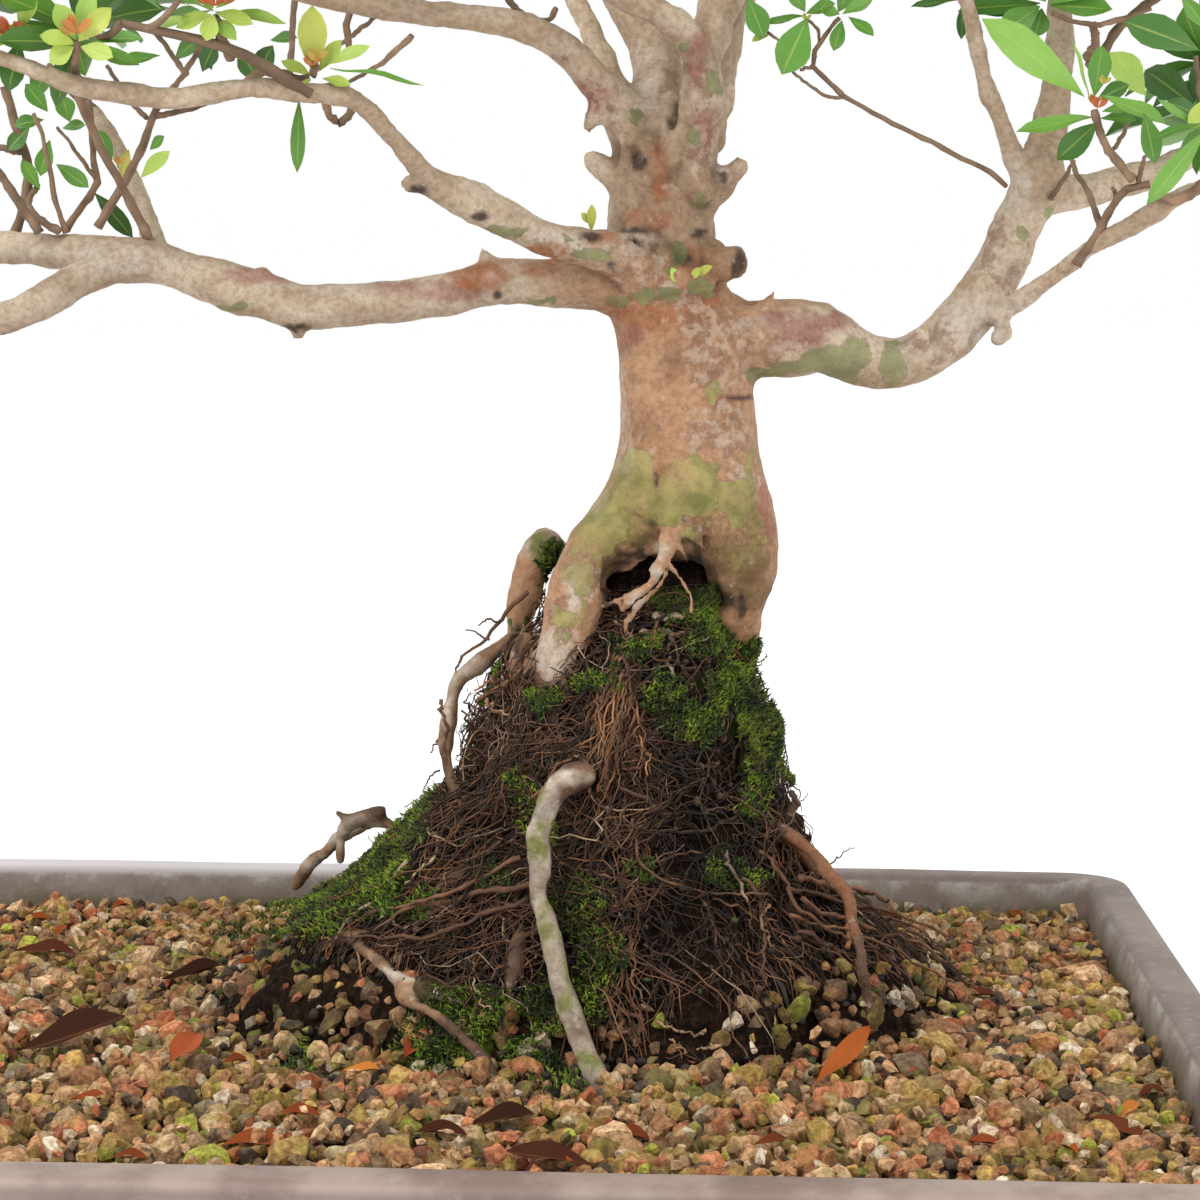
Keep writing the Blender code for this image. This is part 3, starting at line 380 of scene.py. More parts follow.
def unit(vectors):
    """Vectors of the same direction and length 1."""
    return vectors / np.maximum(np.linalg.norm(vectors, axis=-1, keepdims=True), 1e-9)


def grid_corners(rows, columns, closed=False):
    """The four corners of each cell in a grid of points. A closed grid joins its last column to its first."""
    cells = np.meshgrid(np.arange(rows - 1), np.arange(columns if closed else columns - 1), indexing="ij")
    i, j = (cell.ravel() for cell in cells)
    a, b = i * columns + j, i * columns + (j + 1) % columns
    return a, b, b + columns, a + columns


def tube_faces(rings, sides):
    """Triangles of a tube: rings of points, then the middles of its two ends."""
    a, b, c, d = grid_corners(rings, sides, closed=True)
    k = np.arange(sides)
    ahead = (k + 1) % sides
    last = (rings - 1) * sides
    ends = np.full(sides, rings * sides)
    return np.concatenate([
        np.stack(three, -1) for three in (
            (a, b, c), (a, c, d), (ends, ahead, k), (ends + 1, last + k, last + ahead),
        )
    ])


def tubes(lines, radii, sides):
    """Tapered tubes with closed ends along lines of shape (tubes, points, 3), as points and triangles."""
    count, length = lines.shape[:2]
    along = unit(np.gradient(lines, axis=1))
    guide = np.where(np.abs(along[:, :1, 2:]) > 0.8, np.array([1.0, 0, 0]), np.array([0, 0, 1.0]))
    side = unit(np.cross(along, np.broadcast_to(guide, along.shape)))
    other = np.cross(along, side)
    angles = np.arange(sides) * 2 * math.pi / sides
    ring = side[:, :, None] * np.cos(angles)[:, None] + other[:, :, None] * np.sin(angles)[:, None]
    body = (lines[:, :, None] + ring * radii[:, :, None, None]).reshape(count, -1, 3)
    tips = lines[:, [0, -1]]
    verts = np.concatenate([body, tips], 1)
    return verts.reshape(-1, 3), copies_of(tube_faces(length, sides), count, verts.shape[1])


def copies_of(faces, count, points):
    """The faces of one shape for count shapes of so many points each."""
    return (faces[None] + (np.arange(count) * points)[:, None, None]).reshape(-1, faces.shape[1])


def joined(parts):
    """Several (points, faces) as one."""
    verts, faces, base = [], [], 0
    for v, f in parts:
        verts.append(v)
        faces.append(f + base)
        base += len(v)
    return np.concatenate(verts), np.concatenate(faces)


# The wood as a distance field

def densified(rows, step=3.0):
    """Points on a smooth line through the rows, at most about step apart, radius included."""
    rows = np.array(rows, float)
    ends = np.vstack([2 * rows[0] - rows[1], rows, 2 * rows[-1] - rows[-2]])
    out = []
    for p0, p1, p2, p3 in zip(ends, ends[1:], ends[2:], ends[3:]):
        count = max(1, int(np.linalg.norm(p2[:3] - p1[:3]) / step))
        t = (np.arange(count) / count)[:, None]
        bend = (2 * p0 - 5 * p1 + 4 * p2 - p3) * t ** 2
        out.append(0.5 * (2 * p1 + (p2 - p0) * t + bend + (3 * p1 - p0 - 3 * p2 + p3) * t ** 3))
    out.append(rows[-1:])
    return np.vstack(out)


def segment_distance(points, a, b):
    """Distance from points to the tapered segment from a to b, both (x, y, z, radius)."""
    span = b[:3] - a[:3]
    share = np.clip((points - a[:3]) @ span / max(span @ span, 1e-9), 0, 1)
    return np.linalg.norm(points - a[:3] - share[..., None] * span, axis=-1) - a[3] - (b[3] - a[3]) * share


class WoodField:
    """Distances to the wood on a grid, into which chains are melted one after another."""

    FAR = 20.0

    def __init__(self, low, high, step):
        self.low = np.array(low, float)
        self.step = step
        shape = np.ceil((np.array(high) - low) / step).astype(int) + 1
        self.values = np.full(shape, self.FAR, np.float32)

    def window(self, low, high):
        """Slices of the grid between two corners, and the points in them."""
        first = np.clip(np.floor((low - self.low) / self.step).astype(int), 0, self.values.shape)
        last = np.clip(np.ceil((high - self.low) / self.step).astype(int) + 1, 0, self.values.shape)
        axes = [self.low[i] + np.arange(first[i], last[i]) * self.step for i in range(3)]
        return first, last, np.stack(np.meshgrid(*axes, indexing="ij"), -1)

    def chain_values(self, chain, margin):
        """Distances to one chain, in the window round it."""
        reach = chain[:, 3].max() + margin
        first, last, points = self.window(chain[:, :3].min(0) - reach, chain[:, :3].max(0) + reach)
        near = np.full(points.shape[:3], self.FAR, np.float32)
        for a, b in zip(chain, chain[1:]):
            reach = max(a[3], b[3]) + margin
            low = np.minimum(a[:3], b[:3]) - reach
            high = np.maximum(a[:3], b[:3]) + reach
            f, l, spots = self.window(low, high)
            box = tuple(slice(f[i] - first[i], l[i] - first[i]) for i in range(3))
            near[box] = np.minimum(near[box], segment_distance(spots, a, b))
        return tuple(slice(first[i], last[i]) for i in range(3)), near

    def melt(self, rows, blend, rough=0.0):
        """Joins a chain to the wood, with a fillet about blend wide and knots up to rough high."""
        chain = densified(rows)
        if rough:
            spots = chain[:, :3].copy()
            chain[:, :3] += noise_vectors(value_noise, spots, 9, seeds=(1, 2, 3)) * rough
            chain[:, 3] *= 1 + value_noise(spots, 6, 4) * 0.16 * rough
        box, near = self.chain_values(chain, blend + 2 * self.step)
        held = self.values[box]
        meet = np.clip(blend - np.abs(held - near), 0, None) / blend
        self.values[box] = np.minimum(held, near) - meet * meet * blend / 4

    def carve(self, rows, blend):
        """Cuts a chain out of the wood."""
        box, near = self.chain_values(densified(rows), blend + 2 * self.step)
        held = self.values[box]
        meet = np.clip(blend - np.abs(held + near), 0, None) / blend
        cut = np.maximum(held, -near) + meet * meet * blend / 4
        self.values[box] = np.where(near < self.FAR / 2, cut, held)

    def surface(self):
        """Points and quads where the distance is zero, one point for each grid cell that it crosses."""
        inside = self.values < 0
        corners = [(i, j, k) for i in (0, 1) for j in (0, 1) for k in (0, 1)]
        shape = np.array(self.values.shape) - 1

        def shifted(grid, corner):
            return grid[tuple(slice(c, c + n) for c, n in zip(corner, shape))]

        filled = sum(shifted(inside, corner).astype(np.int8) for corner in corners)
        cells = np.argwhere((filled > 0) & (filled < 8))
        index = np.full(shape, -1, np.int64)
        index[tuple(cells.T)] = np.arange(len(cells))
        total = np.zeros((len(cells), 3))
        crossings = np.zeros(len(cells))
        for corner in corners:
            for axis in range(3):
                if corner[axis]:
                    continue
                far = tuple(c + (i == axis) for i, c in enumerate(corner))
                start = self.values[tuple((cells + corner).T)]
                end = self.values[tuple((cells + far).T)]
                crossed = (start < 0) != (end < 0)
                share = np.where(crossed, start / np.where(crossed, start - end, 1), 0)
                spot = np.array(corner, float) + share[:, None] * np.eye(3)[axis]
                total += np.where(crossed[:, None], spot, 0)
                crossings += crossed
        verts = self.low + (cells + total / crossings[:, None]) * self.step
        quads = []
        for axis in range(3):
            u, v = (axis + 1) % 3, (axis + 2) % 3
            near = [slice(1, -1)] * 3
            near[axis] = slice(0, -1)
            ahead = list(near)
            ahead[axis] = slice(1, None)
            start, end = inside[tuple(near)], inside[tuple(ahead)]
            for out, flip in ((start & ~end, False), (~start & end, True)):
                spots = np.argwhere(out) + np.array([0 if i == axis else 1 for i in range(3)])
                eu, ev = np.eye(3, dtype=int)[u], np.eye(3, dtype=int)[v]
                ring = [spots - eu - ev, spots - ev, spots, spots - eu]
                quad = np.stack([index[tuple(r.T)] for r in ring], -1)
                quads.append(quad[:, ::-1] if flip else quad)
        quads = np.concatenate(quads)
        return verts, quads[(quads >= 0).all(1)]


# Materials

WHITE = rgb(255, 255, 255)


class Signal:
    """A value in a material's nodes. Sums and products of signals add the Math nodes that they need."""

    def __init__(self, paint, socket):
        self.paint = paint
        self.socket = socket

    def maths(self, operation, *values):
        """The result of a Math node on some values."""
        node = self.paint.node("Math", dict(enumerate(values)), operation=operation)
        return Signal(self.paint, node.outputs[0])

    def __add__(self, other):
        return self.maths("ADD", self, other)

    def __mul__(self, other):
        return self.maths("MULTIPLY", self, other)

    def __sub__(self, other):
        return self.maths("SUBTRACT", self, other)

    def __rsub__(self, other):
        return self.maths("SUBTRACT", other, self)

    def __abs__(self):
        return self.maths("ABSOLUTE", self)

    def larger(self, other):
        """The larger of two signals."""
        return self.maths("MAXIMUM", self, other)

    def step(self, low, high):
        """0 below low, 1 above high and smooth between."""
        inputs = {"Value": self, "From Min": low, "From Max": high}
        node = self.paint.node("MapRange", inputs, interpolation_type="SMOOTHSTEP")
        return Signal(self.paint, node.outputs["Result"])


class Paint:
    """A Principled material whose colour is laid on in coats."""

    def __init__(self, name, roughness):
        self.material = bpy.data.materials.new(name)
        self.material.use_nodes = True
        self.tree = self.material.node_tree
        self.shader = self.tree.nodes["Principled BSDF"]
        self.colour = WHITE
        self.set("Roughness", roughness)

    def set(self, key, value):
        """Sets an input of the shader."""
        self.shader.inputs[key].default_value = value

    def node(self, kind, inputs=None, **settings):
        """A new node with its inputs linked to signals or set to values."""
        node = self.tree.nodes.new("ShaderNode" + kind)
        for key, value in settings.items():
            setattr(node, key, value)
        for key, value in (inputs or {}).items():
            if isinstance(value, Signal):
                self.tree.links.new(value.socket, node.inputs[key])
            elif isinstance(value, tuple) and node.inputs[key].type == "RGBA":
                node.inputs[key].default_value = (*value, 1)
            else:
                node.inputs[key].default_value = value
        return node

    def place(self, **mapping):
        """Places on the object, moved or stretched where a mapping is given."""
        place = Signal(self, self.node("TexCoord").outputs["Object"])
        if mapping:
            place = Signal(self, self.node("Mapping", {"Vector": place, **mapping}).outputs[0])
        return place

    def noise(self, size, detail=3, roughness=0.55, **mapping):
        """Noise from 0 to 1 with lumps about size mm wide."""
        place = self.place(**mapping)
        inputs = {"Vector": place, "Scale": 1000 / size, "Detail": detail, "Roughness": roughness}
        return Signal(self, self.node("TexNoise", inputs).outputs["Fac"])

    def value(self, name):
        """A value stored on the mesh."""
        return Signal(self, self.node("Attribute", attribute_name=name).outputs["Fac"])

    def stored(self, name):
        """A colour stored on the mesh."""
        return Signal(self, self.node("Attribute", attribute_name=name).outputs["Color"])

    def split(self, kind, signal):
        """The three parts of a place or a colour."""
        outputs = self.node("Separate" + kind, {0: signal}).outputs
        return [Signal(self, outputs[i]) for i in range(3)]

    def mix(self, share, a, b, how="MIX"):
        """A share of the colour b over the colour a."""
        inputs = {0: share, 6: a, 7: b}
        return Signal(self, self.node("Mix", inputs, data_type="RGBA", blend_type=how).outputs[2])

    def coat(self, share, colour):
        """Lays a share of a colour over what is there."""
        self.colour = self.mix(share, self.colour, colour)

    def tint(self, share, dark):
        """Starts from the colour stored on the mesh, darkened where the share is low."""
        self.colour = self.mix(1.0, self.stored("tint"), self.mix(share, dark, WHITE), "MULTIPLY")

    def finish(self, height=None, strength=0.0, depth=0.0):
        """The material, with relief of depth mm where a height is given."""
        self.tree.links.new(self.colour.socket, self.shader.inputs["Base Color"])
        if height:
            bump = self.node("Bump", {"Height": height, "Strength": strength, "Distance": depth * MM})
            self.tree.links.new(bump.outputs["Normal"], self.shader.inputs["Normal"])
        return self.material


# Moves one noise away from another of the same size
APART = {"Location": (0.31, 0.12, 0.07)}
UPRIGHT = {"Scale": (1.0, 1.0, 0.35)}


def bark_material():
    """Bark: the colour stored on the mesh, with crisp sage lichen, purple and pale mottling, moss, and
    painted shade in creases.
    """
    paint = Paint("bark", 0.74)
    grain, fine = paint.noise(6, 5, 0.6), paint.noise(1.7, 6, 0.68)
    mottle, hips = paint.value("mottle"), paint.value("hips")
    paint.tint(fine.step(0.34, 0.62), rgb(220, 212, 204))
    brown = paint.noise(5, 6, 0.68) + mottle * 0.17
    paint.coat(brown.step(0.62, 0.71) * 0.55, rgb(124, 90, 74))
    pale = paint.noise(3.2, 6, 0.66, **APART) + mottle * 0.11
    paint.coat(pale.step(0.58, 0.7) * 0.42, rgb(204, 186, 168))
    rag = (paint.noise(5, 6, 0.7) - 0.5) * 1.9
    sage = paint.value("sage") + rag
    branch_green = paint.mix(grain.step(0.3, 0.7), rgb(92, 106, 58), rgb(134, 140, 86))
    hip_green = paint.mix(grain.step(0.35, 0.65), rgb(112, 114, 54), rgb(166, 160, 94))
    wash = paint.noise(11, 4, 0.6).step(0.36, 0.64) * 0.55 + 0.3
    cover = hips * wash + (1.0 - hips) * 0.72
    paint.coat(sage.step(0.52, 0.6) * cover, paint.mix(hips, branch_green, hip_green))
    edge = sage.step(0.4, 0.5) * (1.0 - sage.step(0.52, 0.58))
    paint.coat(edge * 0.35, rgb(92, 66, 44))
    paint.coat((paint.value("moss") + rag).step(0.5, 0.62), rgb(64, 86, 20))
    # Painted shade: darker where the surface lies in a crease
    paint.coat(paint.value("hollow") * 0.85, rgb(58, 40, 28))
    cracks = paint.noise(1000 / 420, 5, 0.6, **UPRIGHT)
    return paint.finish(fine * 0.8 + cracks * 0.5 + sage.step(0.5, 0.6) * 0.12, 0.75, 0.9)


def gravel_material():
    """Baked clay: the colour of each grain, with algae in patches and dark pits."""
    paint = Paint("gravel", 0.9)
    paint.tint(paint.noise(1.6, 5, 0.65).step(0.36, 0.66), rgb(176, 160, 146))
    paint.coat(paint.noise(13, 5, 0.65).step(0.5, 0.62) * 0.42, rgb(136, 132, 48))
    paint.coat(paint.noise(0.9, 3, 0.6, **APART).step(0.62, 0.72) * 0.5, rgb(84, 60, 42))
    return paint.finish(paint.noise(0.9, 5, 0.65), 0.8, 0.7)


def humus_material():
    """Old dark soil, green where moss begins."""
    paint = Paint("humus", 0.95)
    paint.set("Specular IOR Level", 0.1)
    paint.colour = paint.mix(paint.noise(1.8, 6, 0.7).step(0.42, 0.7), rgb(24, 16, 10), rgb(62, 43, 29))
    moss = paint.value("moss") + (paint.noise(4, 6, 0.7) - 0.5) * 2.0
    green = paint.mix(paint.noise(2.5, 4, 0.6).step(0.35, 0.65), rgb(38, 52, 12), rgb(88, 112, 24))
    paint.coat(moss.step(0.5, 0.66), green)
    return paint.finish(paint.noise(1.2, 6, 0.7), 1.0, 1.6)


def tinted_material(name, roughness, relief=0.0):
    """A material whose colour is stored on the mesh, with a little variation of its own."""
    paint = Paint(name, roughness)
    paint.tint(paint.noise(2), rgb(215, 215, 215))
    return paint.finish(paint.noise(0.9, 4), 0.5, relief) if relief else paint.finish()


# Leaves: roughness, colour between the veins, colour of the rib, other settings, and the tones of a leaf
LEAF_LOOKS = {
    "leaves": (
        0.36, rgb(40, 66, 14), rgb(172, 192, 96), {"Coat Weight": 0.12, "Coat Roughness": 0.3},
        (
            (0.0, rgb(48, 90, 26)), (0.3, rgb(72, 124, 38)), (0.55, rgb(106, 164, 54)),
            (0.8, rgb(152, 200, 88)),
            (0.9, rgb(190, 212, 92)), (0.955, rgb(206, 196, 84)), (1.0, rgb(214, 104, 60)),
        ),
    ),
    "dry_leaves": (
        0.8, rgb(60, 36, 20), rgb(120, 70, 36), {"Specular IOR Level": 0.12},
        (
            (0.0, rgb(34, 20, 12)), (0.3, rgb(104, 50, 28)), (0.6, rgb(172, 86, 38)),
            (0.85, rgb(208, 136, 54)),
            (1.0, rgb(150, 30, 44)),
        ),
    ),
}


def leaf_material(name):
    """Leaves: leaf.r is the place across, leaf.g the place along, leaf.b the tone of the leaf."""
    roughness, flesh, rib_colour, settings, stops = LEAF_LOOKS[name]
    paint = Paint(name, roughness)
    across, along, tone = paint.split("Color", paint.stored("leaf"))
    ramp = paint.node("ValToRGB", {0: tone})
    while len(ramp.color_ramp.elements) < len(stops):
        ramp.color_ramp.elements.new(0.5)
    for element, (position, colour) in zip(ramp.color_ramp.elements, stops):
        element.position = position
        element.color = (*colour, 1)
    paint.colour = Signal(paint, ramp.outputs["Color"])
    centre = abs(across - 0.5)
    rib = 1.0 - centre.step(0.012, 0.05)
    paint.coat(paint.noise(5) * 0.3, flesh)
    paint.coat(rib * 0.5, rib_colour)
    for key, value in settings.items():
        paint.set(key, value)
    wave = (along - centre) * 75.0
    veins = wave.maths("SINE", wave)
    return paint.finish(veins - rib * 3.0, 0.25, 0.25)


def tray_material():
    """Unglazed taupe stoneware, with lime along the inner wall, algae just over the gravel, and a painted
    sheen on the rear rim.
    """
    paint = Paint("stoneware", 0.55)
    wide, fine = paint.noise(34, 5, 0.6), paint.noise(3.5, 5, 0.65)
    paint.colour = paint.mix(wide.step(0.35, 0.65), rgb(108, 92, 86), rgb(132, 116, 108))
    paint.coat(fine.step(0.5, 0.75) * 0.4, rgb(150, 134, 124))
    x, y, z = paint.split("XYZ", paint.place())
    x, y = x - float(TRAY[0]) * MM, y - float(TRAY[1]) * MM

    def level(low, high):
        return z.step(low * MM, high * MM)

    wall = LIP_WIDTH + 0.4
    inset = (abs(x) - (TRAY_WIDTH / 2 - wall) * MM).larger(abs(y) - (TRAY_DEPTH / 2 - wall) * MM)
    inner = 1.0 - inset.step(0.0, 0.8 * MM)
    streaks = paint.noise(16, 7, 0.75, **APART) + level(60, RIM_Z) * 0.06
    paint.coat(inner * streaks.step(0.46, 0.74) * 0.8, rgb(186, 182, 174))
    algae = inner * (1.0 - level(58, 69)) * paint.noise(8, 6, 0.7, **APART).step(0.42, 0.56)
    paint.coat(algae * 0.9, rgb(84, 74, 34))
    edge = level(69, RIM_Z) * paint.noise(7, 6, 0.7).step(0.52, 0.7)
    paint.coat(edge * 0.3, rgb(172, 164, 156))
    top = level(67, 69)
    # Painted sheen: the top of the rear rim, left of the middle, lighter and greyer
    rear_sheen = y.step((TRAY_DEPTH / 2 - 14) * MM, (TRAY_DEPTH / 2 - 10) * MM)
    paint.coat(rear_sheen * (1.0 - x.step(-60 * MM, 110 * MM)) * top * 0.8, rgb(212, 206, 208))
    ahead = (1.0 - y.step((10 - TRAY_DEPTH / 2) * MM, (14 - TRAY_DEPTH / 2) * MM)) * top
    paint.coat(ahead * 0.6, paint.mix(wide.step(0.4, 0.6), rgb(132, 110, 98), rgb(170, 150, 136)))
    return paint.finish(fine * 0.5 + wide, 0.35, 0.5)


# Ground

def inner_half(z):
    """Half the width and depth of the tray's hollow at height z."""
    trim = LIP_WIDTH + WALL_LEAN * (RIM_Z - z) / (RIM_Z - FLOOR_Z)
    return TRAY_WIDTH / 2 - trim, TRAY_DEPTH / 2 - trim


def soil_height(x, y):
    """Height of the gravel at places counted from the trunk's foot."""
    from_tree = np.hypot(x - DOME_X, y)
    return SOIL_Z + DOME_HEIGHT * np.exp(-((from_tree / DOME_RADIUS) ** 2))


def mound_values(z):
    """Centre x, centre y, radius in x and radius in y of the mound at heights z."""
    rows = MOUND_PROFILE[::-1]
    return [np.interp(z, rows[:, 0], rows[:, i]) for i in range(1, 5)]


def mound_point(angle, z, lift=0.0):
    """Points on the rough mound, lift outside its surface."""
    centre_x, centre_y, radius_x, radius_y = mound_values(z)
    spots = np.stack([
        centre_x + (radius_x + lift) * np.cos(angle), centre_y + (radius_y + lift) * np.sin(angle),
        z + np.zeros_like(angle) + lift * 0.4,
    ], -1)
    rough = fractal(spots, 19, 3, 3) * 3.2 + value_noise(spots, 4.5, 9) * 0.9
    out = np.stack([np.cos(angle), np.sin(angle), np.full_like(angle, 0.3)], -1)
    return spots + out * rough[..., None]


def mask_of(points, blobs):
    """0 to 1 in soft balls of (x, y, z, radius)."""
    mask = np.zeros(len(points))
    for x, y, z, radius in blobs:
        mask = np.maximum(mask, np.clip(1.4 - np.linalg.norm(points - (x, y, z), axis=1) / radius, 0, 1))
    return mask


# The picture: 1200 pixels each way, seen from a camera placed from the trunk's foot

MIDDLE = 600
CAMERA_AT = np.array((11.0, -656.0, 243.7))
CAMERA_YAW = math.radians(3)
CAMERA_PITCH = math.atan(300 / 2600)
FOCAL = 2600.0
AHEAD = np.array((
    -math.sin(CAMERA_YAW) * math.cos(CAMERA_PITCH), math.cos(CAMERA_YAW) * math.cos(CAMERA_PITCH),
    -math.sin(CAMERA_PITCH),
))
RIGHTWARD = np.array((math.cos(CAMERA_YAW), math.sin(CAMERA_YAW), 0))
UPWARD = np.cross(RIGHTWARD, AHEAD)


def at(across, down, depth):
    """The point that is seen at a place of the picture, depth behind the trunk's foot."""
    ray = AHEAD * FOCAL + RIGHTWARD * (across - MIDDLE) - UPWARD * (down - MIDDLE)
    return CAMERA_AT + ray * (depth - CAMERA_AT[1]) / ray[1]


def seen_at(points):
    """Places in the picture, across and down, of points of the tree."""
    away = points - CAMERA_AT
    far = away @ AHEAD
    return np.stack([MIDDLE + FOCAL * (away @ RIGHTWARD) / far, MIDDLE - FOCAL * (away @ UPWARD) / far], -1)


def painted(points, normals, ovals, ragged=6.0):
    """0 to 1 on surfaces that face the front, in ragged ovals (across, down, half width, half height)."""
    coarse = noise_vectors(fractal, points, 7, 4, seeds=(51, 61))
    fine = noise_vectors(fractal, points, 2.6, 2, seeds=(57, 67))
    spots = seen_at(points) + (coarse * ragged + fine * ragged * 0.5)
    mask = np.zeros(len(points))
    for across, down, wide, high in ovals:
        reach = np.hypot((spots[:, 0] - across) / wide, (spots[:, 1] - down) / high)
        mask = np.maximum(mask, np.clip((1.25 - reach) * 2, 0, 1))
    return mask * np.clip(0.35 - normals[:, 1] * 1.6, 0, 1)


def painted_flat(points, ovals, ragged):
    """The same on points that have no normals, as if all faced the front."""
    return painted(points, np.tile((0.0, -1.0, 0.0), (len(points), 1)), ovals, ragged)


def on_mound_seen(across, down, lift=0.5):
    """The point of the mound seen at a place of the picture, or one at MISSED_DEPTH where it is missed."""
    depths = np.arange(-95.0, 10.0, 0.5)
    line = np.array([at(across, down, d) for d in depths])
    centre_x, centre_y, radius_x, radius_y = mound_values(line[:, 2])
    reach_x = (line[:, 0] - centre_x) / (radius_x + lift)
    reach_y = (line[:, 1] - centre_y) / (radius_y + lift)
    inside = np.hypot(reach_x, reach_y) < 1
    inside &= line[:, 2] < MOUND_TOP
    return line[np.argmax(inside)] if inside.any() else at(across, down, MISSED_DEPTH)


def mound_height(x, y):
    """Height of the mound's foot, and a low one where there is none."""
    levels = np.arange(56, 100, 1.0)
    height = np.full(np.shape(x), 40.0)
    for z in levels:
        centre_x, centre_y, radius_x, radius_y = mound_values(z)
        height = np.where(np.hypot((x - centre_x) / radius_x, (y - centre_y) / radius_y) < 1, z, height)
    return height


def top_height(x, y):
    """Height of the gravel or, where it is higher, of the mound."""
    return np.maximum(soil_height(x, y), mound_height(x, y))


# Tree

# Swellings and creases of the bark, as chains of (x, y, z, radius)
KNOBS = (
    ((-2.5, -11, 258, 2.6), (-2.5, -13, 258.8, 2.2)),
    ((15, -5, 239, 2.2), (18, -8, 243, 1.2), (20, -10, 245.5, 0.9)),
    ((13, -6, 239, 2.4), (13.5, -8, 241, 1.4)),
    ((-48, -11, 246, 3.2), (-49, -12.5, 245, 2.6)),
    ((-86, -12, 243, 3), (-87, -14, 242, 2.4)),
    ((-98, -9, 238, 3), (-98, -10, 235, 1.7)),
    ((-106, -8, 248, 2.5), (-107, -8, 251, 1.7)),
    ((-51, -7, 253, 2.2), (-52, -7, 255.5, 1.2)),
    ((56, 3, 233, 3), (57, 1, 235, 2.4)),
    ((-13, -10, 226, 5), (-11, -11, 219, 5)),
    ((8, -11, 206, 7), (9, -11, 199, 7)),
    ((-9, -10, 203, 7), (-12, -10, 197, 7)),
    ((4, -9, 229, 7), (1, -9, 236, 6)),
    ((20, -3, 238, 6), (30, -2, 237.5, 5.5), (36, 0, 234, 4)),
    ((-12, -7, 278, 5), (-14, -8, 270, 4)),
    ((-16, -8, 285, 3), (-15, -10, 281, 2)),
    ((0, -10, 275, 4), (3, -11, 270, 3)),
    ((1, -11, 281, 2.6), (2, -12.5, 280, 1.8)),
    ((-10, -10, 265, 4), (-6, -12, 262, 3.6)),
    ((-13, -11, 248, 4), (-5, -13, 249, 4), (2, -10, 248, 3)),
    ((-14, -13, 252, 2.6), (-10, -14, 252, 2.2)),
    ((-26, -6, 256, 2.4), (-27, -8, 258.5, 1.8)),
    ((-24, -8, 289, 3), (-26, -8, 286, 1.6)),
    ((2, -8, 291, 5.4), (2, -8, 296, 5)),
    ((-1, -17, 186, 3.4), (1.5, -17, 182.5, 2.6)),
    ((78, 6, 236, 2.6), (76, 4, 234, 2)),
    ((83, 9, 254, 2.5), (80, 8, 257, 1.7)),
    ((91, 12, 281, 2.4), (92, 10, 283, 1.6)),
)

GROOVES = (
    ((-8.6, -20, 204, 1.4), (-9, -19.4, 199, 1.7), (-7.5, -18.5, 194, 1.5)),
    ((6, -16, 221.5, 1.1), (12, -11.5, 219.5, 1.6), (17, -7, 218, 1.4)),
    ((17.2, -12, 253, 6.4), (17.3, -12.2, 253, 6.4)),
    ((15.4, -9.6, 279.5, 3.0), (15.5, -9.6, 279.6, 3.0)),
    ((-14, -14, 245, 0.9), (-10, -15.5, 236, 1.0), (-8, -17, 228, 0.8)),
    ((-18, -15, 172, 4.2), (-13, -15, 180, 4), (-9.5, -16, 184.5, 2.6)),
    ((-18, -5, 172, 5), (-11, -5, 181, 4), (-9, -5, 184, 3)),
    ((2.2, -15, 184, 2), (1.6, -12, 178, 3.2), (1.5, -10, 168, 4)),
    ((2, -4, 182, 2.4), (1.4, -3, 172, 4)),
    ((-14.6, -13.6, 279.6, 2.2), (-14.6, -11, 279.6, 1.8)),
    ((-18, -12, 257.6, 1.2), (-8, -14.6, 256.6, 1.4), (0, -12, 253.5, 1.2)),
    ((-12, -11, 289, 1.4), (-8, -9, 292, 1.6), (-5, -6, 297, 1.6)),
    ((-5, -9, 286, 1.2), (-3, -6, 294, 1.5)),
    ((-20, -12, 253.4, 0.9), (-30, -13, 253.4, 1.0)),
)

# Small knotted roots and stubs: (across, down in the picture, depth, radius). Those that lie on the mound
# have no depth of their own.
KNOTTED = (
    (
        (666, 521, -15, 2.6), (672, 530, -19, 2.9), (662, 541, -20, 1.5), (667, 551, -22, 2.4),
        (661, 560, -21, 1.4), (656, 570, -23, 2.2), (658, 579, -22, 1.3), (648, 589, -24, 1.9),
        (639, 597, -24, 1.3), (628, 606, -25, 1.7), (621, 613, -23, 1.0),
    ),
    ((650, 586, -23, 1.2), (638, 592, -24, 1.1), (622, 598, -23, 1.0), (604, 606, -21, 0.8)),
    ((662, 560, -21, 1.3), (676, 572, -20, 1.0), (684, 586, -19, 1.1), (692, 600, -20, 0.9),
     (690, 612, -22, 0.9)),
    ((672, 540, -20, 1.4), (682, 550, -18, 1.1), (688, 562, -16, 0.9)),
    ((746, 606, -2, 3.2), (750, 625, 0, 2.6), (745, 645, 2, 2.0), (740, 668, 3, 1.6)),
    ((536, 660, -14, 2.4), (530, 680, -13, 2.2), (538, 700, -16, 1.8), (548, 720, -20, 1.4)),
    ((524, 640, -6, 2.2), (516, 664, -6, 2.4), (520, 690, -8, 1.8)),
    ((786, 830, -8, 1.8), (788, 812, -9, 1.5), (795, 800, -9, 1.3), (791, 790, -9, 1.2)),
    ((380, 812, 12, 2.0), (352, 822, 14, 2.4), (340, 840, 15, 1.6), (340, 862, 15, 1.1)),
    ((352, 822, 14, 1.6), (336, 812, 12, 1.1)),
)

